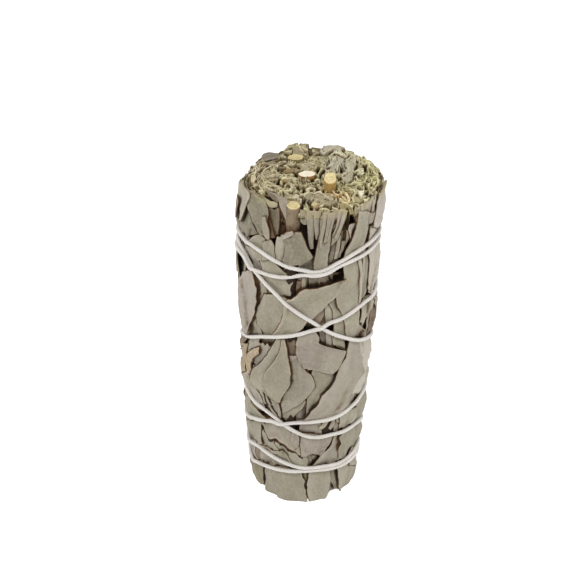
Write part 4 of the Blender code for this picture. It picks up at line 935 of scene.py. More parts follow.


# How deep each spot lies: below what stands within a millimetre, and below its wider surroundings. The deeper a spot,
# the more painted shade its colour gets.
grid_angle = (np.arange(TURN) * DA)[:, None] + np.zeros(ROWS)[None, :]
grid_z = LOW + DZ * np.arange(ROWS)[None, :] + 0 * grid_angle
finished, near_top, around = Field(), Field(), Field()
finished.h = pressed(grid_angle, np.clip(grid_z, 0, HEIGHT), laid.h)
near_top.h = finished.h.copy()
for i, j in ((1, 0), (-1, 0), (0, 1), (0, -1)):
    near_top.h = np.maximum(near_top.h, np.roll(np.roll(finished.h, i, 0), j, 1))
wide = finished.h.copy()
for _ in range(12):
    wide = (np.roll(wide, 1, 0) + wide + np.roll(wide, -1, 0)) / 3
    wide[:, 1:-1] = (wide[:, :-2] + wide[:, 1:-1] + wide[:, 2:]) / 3
around.h = wide


def shade_from_depth(angle, z, r):
    narrow = step_up(near_top.read(angle, z) - r, 0.25, 0.9)
    broad = step_up(around.read(angle, z) - r, 0.4, 1.6)
    soft = step_up(around.read(angle, z) - r, -0.1, 0.7)
    return 1 - (1 - 0.5 * narrow) * (1 - 0.85 * broad) * (1 - 0.22 * soft)


cad_nodes = {f"leaf_back_{n + 1}" for n in range(9)} | {
    "leaf_right_outer", "leaf_right_smooth", "leaf_fan_left", "leaf_fan_right", "leaf_fan_middle", "leaf_left_edge",
    "leaf_left_tall", "leaf_round", "leaf_narrow", "leaf_pentagon", "leaf_left_long", "leaf_fold_brown", "leaf_right_narrow",
    "leaf_oval", "leaf_small_upper", "leaf_diagonal", "leaf_square", "leaf_right_lower", "leaf_long_green", "leaf_long_smooth",
    "leaf_pink", "leaf_left_pale", "leaf_torn_middle", "leaf_diamond", "leaf_torn_lower", "leaf_left_lower",
    "leaf_right_panel", "leaf_middle_panel", "leaf_foot_left", "leaf_foot_wide", "leaf_foot_middle", "leaf_foot_right",
}


def grid_faces(nu, nv):
    """Faces of a closed sheet: the outside grid first, then its rims, then the inside grid."""
    i, j = np.meshgrid(np.arange(nu - 1), np.arange(nv - 1), indexing="ij")
    a = (i * nv + j).ravel()
    outside = np.c_[a, a + 1, a + nv + 1, a + nv]
    below = nu * nv
    inside = outside[:, ::-1] + below
    rims = []
    loop = (
        [(k, 0) for k in range(nu)] + [(nu - 1, k) for k in range(1, nv)]
        + [(k, nv - 1) for k in range(nu - 2, -1, -1)] + [(0, k) for k in range(nv - 2, 0, -1)]
    )
    for k, (p, q) in enumerate(loop):
        r, s = loop[(k + 1) % len(loop)]
        x, y = p * nv + q, r * nv + s
        rims.append((x, y, y + below, x + below))
    return outside, np.array(rims), inside


def leaf_values(mesh, leaf, deep_out, deep_in):
    count = leaf["z"].size
    tone = leaf["tone"] + 0.13 * noise(leaf["u"] / 5.0, leaf["v"] / 3.0, leaf["tone"] * 9, 11)
    set_values(mesh, "tone", np.concatenate([tone.ravel(), tone.ravel() * 0.9]))
    set_values(mesh, "warm", np.full(2 * count, leaf["warm"]))
    set_values(mesh, "tan", np.full(2 * count, leaf["tan"]))
    # rim marks the margin for its painted highlight and reddish tan; deep is how much painted shade each side gets
    edge = np.maximum(step_up(0.42 - leaf["beside"], 0.0, 0.32), step_up(0.4 - leaf["away"], 0.0, 0.3)) * leaf["rim"]
    set_values(mesh, "rim", np.concatenate([edge.ravel(), edge.ravel()]))
    set_values(mesh, "deep", np.concatenate([deep_out.ravel(), np.clip(deep_in.ravel(), 0, 2.2)]))
    if leaf.get("fresh"):
        set_values(mesh, "fresh", np.full(2 * count, leaf["fresh"]))
    if leaf.get("gold"):
        set_values(mesh, "gold", np.full(2 * count, leaf["gold"]))
    blade = np.stack([leaf["v"] + leaf["skew"], leaf["u"], 0 * leaf["u"] + leaf["tone"] * 50], axis=-1).reshape(-1, 3)
    set_vectors(mesh, "blade", np.concatenate([blade, blade]))


def make_leaf(leaf):
    angle, z = leaf["angle"], leaf["z"]
    nu, nv = angle.shape
    leaf["skew"] = 1.6 * math.sin(leaf["tone"] * 37 + leaf["warm"] * 11)
    outside_r = pressed(angle, z, leaf["top"])
    low_angle, low_z = leaf["low_angle"], leaf["low_z"]
    inside_r = pressed(low_angle, low_z, leaf["inner"])
    points = np.concatenate([world(angle, z, outside_r).reshape(-1, 3), world(low_angle, low_z, inside_r).reshape(-1, 3)])
    outside, rims, inside = grid_faces(nu, nv)
    faces = np.concatenate([outside, rims, inside])
    p = points[outside]
    normals = np.cross(p[:, 1] - p[:, 0], p[:, 2] - p[:, 0])
    from_axis = p[:, 0] - np.array([(axis_x(float(z.mean())) + CENTRE_X) * MM, CENTRE_Y * MM, 0])
    from_axis[:, 2] = 0
    if (normals * from_axis).sum() < 0:
        faces = faces[:, ::-1]
    obj = new_piece(leaf["name"], points, faces, leaf_look, "leaf", (leaf["name"],) if leaf["name"] in cad_nodes else ())
    # Painted shade: deep darkens the outside where it lies below its neighbours, and more by the leaf's shade. The
    # skirt round the edge gets a painted shadow line, wider where edges says so. The inner sheet is painted dark except
    # near the cut
    deep = 1 - (1 - shade_from_depth(angle, z, outside_r)) * (1 - leaf["shade"])
    shade = 0.85 + 0.4 * noise(low_angle * SPAN / 2.5, low_z / 2.5, leaf["seed"] * 1.0, 23)
    for wide_by, spots in zip(leaf["edges"], ((0, slice(None)), (-1, slice(None)), (slice(None), 0), (slice(None), -1))):
        shade[spots] *= 1 + 0.7 * max(wide_by - 1, 0)
    under = np.where(leaf["border"], np.maximum(shade_from_depth(low_angle, low_z, inside_r), shade), 0.9)
    leaf_values(obj.data, leaf, deep, under + (0.12 - under) * step_up(low_z, TOP - 3.0, TOP - 1.2))


for leaf in leaves:
    make_leaf(leaf)

# ------------------------------------------------------------------------------ packs and their cut ends
STEMS = (
    # name, x, y, radius, top, rise towards the back, rise towards the right, bark, cut
    ("stem_back", -3.7, 11.8, 2.15, 102.4, -0.1, 0.03, "olive", "straw"),
    ("stem_thick", -0.6, 2.4, 2.3, 102.2, -0.11, 0.02, "orange", "cream"),
    ("stem_slanted", 5.6, -3.9, 1.78, 104.4, 0.42, 0.05, "golden", "yellow"),
    ("stem_front", -4.45, -16.5, 1.76, 102.8, 0.22, -0.04, "grey", "straw"),
    ("stem_pale", 1.2, -14.6, 0.78, 102.0, 0.2, 0.15, "olive", "pale"),
    ("stem_petiole", -5.7, 5.2, 1.6, 101.7, 0.1, 0.1, "olive", "brown"),
)
PACKS = (
    (-13.2, 0.2), (-10.8, -9.0), (-12.2, 9.8), (-5.6, -4.4), (-2.4, -9.6), (-3.6, 7.6),
    (2.2, 11.6), (10.6, 9.2), (13.2, -1.4), (4.4, 2.4), (9.2, -11.4), (2.4, -15.0),
)
CELL = 0.15
RIM = 21.0
NOTCH = math.radians(178.0)


def on_level(x, y, z):
    """Where the line of sight through (x, y) meets the level z, from the bundle's axis there."""
    down, ahead = math.sin(VIEW_SLOPE), math.cos(VIEW_SLOPE)
    right, fall = (np.asarray(x, float) - VIEW_MIDDLE) / VIEW_ZOOM, (np.asarray(y, float) - VIEW_MIDDLE) / VIEW_ZOOM
    across, forth, up = right, ahead - fall * down, -down - fall * ahead
    t = (z - VIEW_UP) / up
    return VIEW_RIGHT + across * t - axis_x(z), -VIEW_BACK + forth * t


def apart(a, b):
    return (a - b + math.pi) % (2 * math.pi) - math.pi


def shoulder(turn):
    """How far the cut face droops outwards past its rim: not at the front, where leaves stand upright."""
    side = np.abs(apart(turn, math.radians(158.0)))
    return np.clip(by_turn(TOP_LINE, turn) - 0.35 - by_turn(RIM_LINE, turn), 0.0, 2.2) * (1 - step_up(side, 1.7, 2.1))


def rim_reach(turn):
    """How far out the cut face reaches, with the notch at the back."""
    reach = by_turn(RIM_LINE, turn) + shoulder(turn) + 0.35 * noise(np.cos(turn) * 4, np.sin(turn) * 4, 0, 71) + 0.3 * noise(np.cos(turn) * 14, np.sin(turn) * 14, 0, 72)
    return reach - 3.2 * np.exp(-((apart(turn, NOTCH) * 18 / 0.8) ** 2))


side_cells = int(2 * (RIM + 0.6) / CELL)
nodes_at = (np.arange(side_cells + 1) - side_cells / 2) * CELL
gx, gy = np.meshgrid(nodes_at, nodes_at, indexing="ij")
out_by = np.hypot(gx, gy)
turn_at = np.arctan2(gx, -gy)
rim_at = by_turn(RIM_LINE, turn_at)


def lump(px, py, wide_x, wide_y=None):
    """One where the view's spot (px, py) lies on the cut face, fading out as far as the widths in millimetres."""
    x, y = on_level(px, py, TOP)
    return np.exp(-(((gx - x) / wide_x) ** 2 + ((gy - y) / (wide_y or wide_x)) ** 2))


def within(spots, soft):
    """One inside the outline given on the view, fading over some millimetres."""
    ex, ey = on_level(*np.array(spots, float).T, TOP)
    inside, nearest = np.zeros(gx.shape, bool), np.full(gx.shape, 99.0)
    for k in range(len(ex)):
        x0, y0, x1, y1 = ex[k - 1], ey[k - 1], ex[k], ey[k]
        crosses = (y0 > gy) != (y1 > gy)
        inside ^= crosses & (gx < x0 + (gy - y0) / (y1 - y0 + 1e-9) * (x1 - x0))
        t = np.clip(((gx - x0) * (x1 - x0) + (gy - y0) * (y1 - y0)) / ((x1 - x0) ** 2 + (y1 - y0) ** 2), 0, 1)
        nearest = np.minimum(nearest, np.hypot(gx - x0 - t * (x1 - x0), gy - y0 - t * (y1 - y0)))
    return step_up(np.where(inside, nearest, -nearest), -soft / 2, soft / 2)


macro = 0.4 * noise(gx / 5.5, gy / 5.5, 3.0, 68) + 0.2 * noise(gx / 2.2, gy / 2.2, 5.0, 77) - 0.8 * step_up(out_by, rim_at - 1.6, rim_at + 0.3)
for middle, half, size in ((-171.5, 12.0, 1.3), (163.0, 10.0, 0.4), (-120.0, 14.0, 0.5), (120.0, 38.0, 1.4)):
    macro = macro + size * step_up(1 - np.abs(apart(turn_at, math.radians(middle))) / math.radians(half * 1.4), 0, 0.5) * step_up(out_by, 15.5, 17.8)
macro -= 1.6 * step_up(out_by, 15.5, 20.0) * step_up(1 - np.abs(apart(turn_at, math.radians(38))) / math.radians(26), 0, 0.8)
macro -= 1.1 * np.clip(out_by - rim_at - 0.2, 0, None)
pit = within(((264, 191.5), (270, 190.5), (276, 191), (283, 194), (287, 200), (287, 210), (278, 212), (270, 203), (266, 198)), 0.5)
macro = macro - 3.6 * pit
high = macro - 1.25 + 0.3 * fractal(gx / 0.7, gy / 0.7, 0.0, 78, 2)

# colours by place: greener to the right, ash towards the back right, gold beside the slanted stem
field = {
    "fresh": np.clip(0.15 + 0.75 * step_up(gx + 0.25 * gy + 2.0 * noise(gx / 3, gy / 3, 0, 79), 0.0, 10.0) + 0.35 * noise(gx / 2.5, gy / 2.5, 0, 80), 0, 1),
    "grey": np.clip(0.95 * lump(341, 165, 4.6, 4.2) + 0.6 * lump(328, 152, 4.0, 4.0) + 0.8 * lump(316, 198, 3.6, 2.4) + 0.5 * lump(260, 163, 4.0, 6.0), 0, 1),
    "gold": np.clip(1.0 * lump(338, 195, 2.8, 2.6) + 0.5 * lump(326, 190, 1.5, 2.5) + 0.3 * lump(262, 164, 2.5), 0, 1),
}
# Where no leaf edge is laid, off is high, so the gap there gets painted shade; past the rim it gets little, and is
# paler and less green
past_rim = step_up(out_by - rim_at, 0.0, 0.5)
field["fresh"] *= 1 - 0.75 * past_rim
paint = {"tone": 0.25 + 0.15 * noise(gx, gy, 0, 82) + 0.25 * past_rim, "off": 0.6 - 0.55 * past_rim, **{key: values.copy() for key, values in field.items()}}


def at_spot(x, y):
    return int(np.clip((x + side_cells * CELL / 2) / CELL, 0, side_cells)), int(np.clip((y + side_cells * CELL / 2) / CELL, 0, side_cells))


def block(xs, ys, margin):
    (i0, j0), (i1, j1) = at_spot(xs.min() - margin, ys.min() - margin), at_spot(xs.max() + margin, ys.max() + margin)
    return slice(i0, i1 + 1), slice(j0, j1 + 1)


def painted(box, level, off, **colours):
    """Keeps the higher of what is there and a new shape over one block of the grid."""
    above = level > high[box]
    high[box][above] = level[above]
    paint["off"][box][above] = off[above]
    for key, value in colours.items():
        paint[key][box][above] = value


def leaf_edge(xs, ys, half=0.13, level=0.0, slope=4.5, round_by=0.5, seed=0.0, ends=0.3, **colours):
    """The cut edge of one pressed leaf along a line."""
    run = np.r_[0, np.cumsum(np.hypot(np.diff(xs), np.diff(ys)))]
    s = np.arange(0, run[-1] + 0.06, 0.12)
    px, py = smooth(s, run, xs), smooth(s, run, ys)
    px, py = px + 0.05 * noise(s / 0.5, seed, 0, 101), py + 0.05 * noise(s / 0.5, seed, 5.0, 101)
    box = block(px, py, 0.9)
    far2 = (gx[box][..., None] - px) ** 2 + (gy[box][..., None] - py) ** 2
    nearest = far2.argmin(axis=-1)
    far = np.sqrt(np.take_along_axis(far2, nearest[..., None], -1)[..., 0])
    along = s[nearest]
    wide = half * (1 + 0.4 * noise(along / 0.8, seed, 0, 94))
    end = np.exp(-np.minimum(along, s[-1] - along) / 0.35)
    over = far - wide
    here = macro[box] + level + 0.16 * noise(along / 1.3, seed, 0, 95) - ends * end
    here = here - round_by * (np.clip(far / wide, 0, 1) ** 2) * 0.12 - slope * np.clip(over, 0, None)
    tone = colours.pop("tone") + 0.18 * noise(along / 0.9, seed, 0, 102)
    i, j = at_spot(float(px.mean()), float(py.mean()))
    values = {key: colours.get(key, float(field[key][i, j])) for key in field}
    above = here > high[box]
    high[box][above] = here[above]
    paint["off"][box][above] = over[above]
    paint["tone"][box][above] = tone[above]
    for key, value in values.items():
        paint[key][box][above] = value


def sheet(spots, level, tilt=(0.0, 0.0), seed=0.0, **colours):
    """A flat scrap of leaf lying on the cut face, its outline given on the view."""
    ex, ey = on_level(*np.array(spots, float).T, TOP + 0.3)
    box = block(ex, ey, 0.6)
    inside, nearest = np.zeros(gx[box].shape, bool), np.full(gx[box].shape, 99.0)
    bx = gx[box] + 0.10 * noise(gx[box] / 0.6, gy[box] / 0.6, seed, 103)
    by = gy[box] + 0.10 * noise(gx[box] / 0.6, gy[box] / 0.6, seed + 4, 103)
    for k in range(len(ex)):
        x0, y0, x1, y1 = ex[k - 1], ey[k - 1], ex[k], ey[k]
        inside ^= ((y0 > by) != (y1 > by)) & (bx < x0 + (by - y0) / (y1 - y0 + 1e-9) * (x1 - x0))
        t = np.clip(((bx - x0) * (x1 - x0) + (by - y0) * (y1 - y0)) / ((x1 - x0) ** 2 + (y1 - y0) ** 2), 0, 1)
        nearest = np.minimum(nearest, np.hypot(bx - x0 - t * (x1 - x0), by - y0 - t * (y1 - y0)))
    signed = np.where(inside, -nearest, nearest)
    mx, my = ex.mean(), ey.mean()
    creased = np.abs(noise(bx / 1.1, by / 1.1, seed, 106))
    here = macro[box] + level + tilt[0] * (bx - mx) + tilt[1] * (by - my) + 0.2 * noise(bx / 1.4, by / 1.4, seed, 104) + 0.45 * np.clip(creased, 0, 0.35) - 5.0 * np.clip(signed, 0, None)
    above = here > high[box]
    high[box][above] = here[above]
    # along creases off rises a little, which gives painted shade in the creases
    paint["off"][box][above] = np.where(signed < -0.28, 0.02 + 0.16 * step_up(0.10 - creased, 0.0, 0.10), signed)[above]
    tone = colours.pop("tone") + 0.12 * noise(bx / 1.1, by / 1.1, seed, 105)
    paint["tone"][box][above] = tone[above]
    for key, value in colours.items():
        paint[key][box][above] = value


# Pressed leaves in small bundles of nearly parallel edges, many of them folded back, each bundle its own way.
pressing = np.random.default_rng(11)


def flow(x, y):
    """The way the pressed leaves run at a place: round the rim and the stems."""
    turn = math.atan2(y, x) + math.pi / 2
    wx, wy = math.cos(turn), math.sin(turn)
    for _, sx, sy, r, *_ in STEMS:
        far = math.hypot(x - sx, y - sy) + 1e-6
        share = 2.5 * float(np.clip(1.9 - far / (r + 1.0), 0, 1))
        tx, ty = -(y - sy) / far, (x - sx) / far
        same = -1.0 if tx * wx + ty * wy < 0 else 1.0
        wx, wy = wx + share * same * tx, wy + share * same * ty
    return math.atan2(wy, wx)


spots = []
while len(spots) < 118:
    tries = pressing.uniform(-RIM, RIM, (40, 2))
    tries = tries[np.hypot(*tries.T) < by_turn(RIM_LINE, np.arctan2(tries[:, 0], -tries[:, 1])) - 0.3]
    if len(spots):
        gap = np.hypot(tries[:, None, 0] - np.array(spots)[None, :, 0], tries[:, None, 1] - np.array(spots)[None, :, 1]).min(axis=1)
        spots.append(tuple(tries[int(gap.argmax())]))
    else:
        spots.append(tuple(tries[0]))
pressing.shuffle(spots)
for number, (x, y) in enumerate(spots):
    x, y = float(x), float(y)
    rightness = float(np.clip((x + 2) / 12, 0, 1))
    count = int(pressing.choice((2, 3, 4, 4, 5)))
    space = pressing.uniform(0.5, 0.85)
    length = pressing.uniform(3.0, 6.5) * (1 - 0.35 * rightness)
    heading = flow(x, y) + pressing.normal(0, 0.45 + 0.5 * rightness)
    bow = pressing.normal(0, 0.12)
    t = np.linspace(-length / 2, length / 2, 7)
    way = heading + bow * t + 0.25 * np.sin(t * pressing.uniform(0.5, 1.1) + number)
    mx = x + np.concatenate([[0], np.cumsum(np.cos(way[:-1]) * np.diff(t))]) - 0.5 * length * math.cos(heading)
    my = y + np.concatenate([[0], np.cumsum(np.sin(way[:-1]) * np.diff(t))]) - 0.5 * length * math.sin(heading)
    nx, ny = -np.sin(way), np.cos(way)
    base = pressing.normal(0.0, 0.28)
    tone, fresh_by = pressing.uniform(0.4, 0.75), pressing.normal(0, 0.15)
    i, j = at_spot(x, y)
    look = dict(fresh=float(np.clip(field["fresh"][i, j] + fresh_by, 0, 1)))
    offsets = (np.arange(count) - (count - 1) / 2) * space + pressing.normal(0, 0.07, count)
    folded = pressing.random() < 0.5
    used = set()
    for k, o in enumerate(offsets):
        if k in used:
            continue
        level, line_tone = base + pressing.normal(0, 0.14), tone + pressing.normal(0, 0.13)
        half = pressing.uniform(0.09, 0.16)
        if folded and k < count // 2:
            mate = count - 1 - k
            used.add(mate)
            bend = np.linspace(0, math.pi, 7)[1:-1]
            size, middle = (offsets[mate] - o) / 2, (offsets[mate] + o) / 2
            tip_x, tip_y = mx[-1] + nx[-1] * middle, my[-1] + ny[-1] * middle
            ax = tip_x + size * (-np.cos(bend) * nx[-1] + np.sin(bend) * math.cos(way[-1]))
            ay = tip_y + size * (-np.cos(bend) * ny[-1] + np.sin(bend) * math.sin(way[-1]))
            cut = int(pressing.integers(0, 3))
            left = 6 - int(pressing.integers(0, 3))
            xs = np.r_[(mx + nx * o)[cut:-1], ax, (mx + nx * offsets[mate])[-2::-1][:left]]
            ys = np.r_[(my + ny * o)[cut:-1], ay, (my + ny * offsets[mate])[-2::-1][:left]]
        else:
            first, last = int(pressing.integers(0, 2)), 7 - int(pressing.integers(0, 2))
            xs, ys = (mx + nx * o)[first:last], (my + ny * o)[first:last]
        if len(xs) > 2 and np.hypot(np.diff(xs), np.diff(ys)).min() > 0.02:
            leaf_edge(xs, ys, half, level, 4.5, seed=number * 7.7 + k, tone=float(np.clip(line_tone, 0.1, 1)), **look)

# Crumbs: short curled scraps any way round, most of them to the right, and finer there.
for number in range(1000):
    turn, away = pressing.uniform(0, 2 * math.pi), RIM * math.sqrt(pressing.random())
    x, y = away * math.cos(turn), away * math.sin(turn)
    rightness = float(np.clip((x + 2) / 10, 0, 1))
    if pressing.random() > 0.2 + 0.8 * rightness:
        continue
    length, heading, bow = pressing.uniform(0.5, 1.9 - 0.5 * rightness), pressing.uniform(0, 2 * math.pi), pressing.normal(0, 1.2)
    t = np.linspace(0, length, 5)
    way = heading + bow * t
    xs = x + np.concatenate([[0], np.cumsum(np.cos(way[:-1]) * np.diff(t))])
    ys = y + np.concatenate([[0], np.cumsum(np.sin(way[:-1]) * np.diff(t))])
    leaf_edge(xs, ys, pressing.uniform(0.05, 0.12), pressing.uniform(-0.3, 0.4), 5.5, seed=900.0 + number, tone=float(np.clip(pressing.normal(0.72, 0.18), 0.2, 1)))

# Scraps and edges as they are seen on the cut face.
SCRAPS = (
    (((346, 160), (351, 159.5), (355.5, 160.5), (355.8, 165), (353.5, 169), (348, 169.5), (345.5, 166)), 0.35, (0.0, 0.06), dict(tone=0.62, fresh=0.2, grey=0.6, gold=0.0)),
    (((341.5, 175.5), (346, 171), (351, 170.8), (353, 174), (352, 178), (347, 180.5), (343.5, 178.5)), 0.3, (0.05, 0.0), dict(tone=0.58, fresh=0.2, grey=0.6, gold=0.0)),
    (((326, 167), (333, 160), (340, 158), (344, 161), (338, 166), (331, 170)), 0.15, (0.0, 0.08), dict(tone=0.6, fresh=0.15, grey=0.8, gold=0.0)),
    (((305, 198.5), (308, 192.5), (316, 192), (322, 193), (328, 197.5), (336, 205), (330, 207.5), (321, 204), (313, 199.5)), 0.35, (0.03, -0.10), dict(tone=0.46, fresh=0.2, grey=0.45, gold=0.15)),
    (((320.5, 152.5), (321.3, 148.8), (324, 146.6), (328, 146), (335, 148), (341, 150.3), (345, 153.6), (339, 154.2), (333, 152.8), (327, 152.6), (323.5, 154)), 0.75, (0.0, 0.1), dict(tone=0.66, fresh=0.0, grey=0.7, gold=0.0)),
    (((302, 165.5), (308, 163), (312, 164), (311.5, 168.5), (304, 169.5)), 0.2, (0.0, 0.08), dict(tone=0.5, fresh=0.1, grey=0.4, gold=0.0)),
    (((293, 151.5), (300, 151.5), (304, 154), (300, 155.5), (293, 154.8)), 0.4, (0.0, 0.1), dict(tone=0.4, fresh=0.1, grey=0.5, gold=0.1)),
    (((266, 161.5), (271, 160.5), (273, 163), (269, 165.5), (265.5, 165)), 0.25, (0.0, 0.05), dict(tone=0.35, fresh=0.0, grey=0.5, gold=0.1)),
    (((251, 175.5), (254.8, 175), (256, 178), (253, 180.5), (250.5, 179)), 0.3, (0.0, 0.1), dict(tone=0.8, fresh=0.0, grey=0.2, gold=0.25)),
    (((340, 204.5), (345, 203.3), (350, 203.8), (354, 206), (352, 211), (345, 211.5), (340.5, 209)), 0.25, (0.0, 0.1), dict(tone=0.3, fresh=0.7, grey=0.0, gold=0.1)),
    (((358, 191), (361, 191.8), (364, 190.8), (362.5, 194.8), (360, 194.3)), 0.5, (0.0, 0.0), dict(tone=1.0, fresh=0.5, grey=0.3, gold=0.0)),
    (((312, 203.8), (318, 203.3), (318.5, 206.8), (313, 207.3)), 0.45, (0.0, 0.0), dict(tone=0.5, fresh=0.0, grey=0.3, gold=0.4)),
    (((281, 180), (286, 180), (288.5, 183.5), (285, 185.5), (281.5, 184.5)), 0.15, (0.1, 0.0), dict(tone=0.35, fresh=0.1, grey=0.1, gold=0.5)),
    (((304, 171), (309, 169.3), (314, 170.2), (315, 172), (309, 171.8)), 0.15, (0.0, 0.0), dict(tone=0.6, fresh=0.0, grey=0.1, gold=0.4)),
)
for number, (spots, level, tilt, look) in enumerate(SCRAPS):
    sheet(spots, level, tilt, seed=number * 2.3, **look)
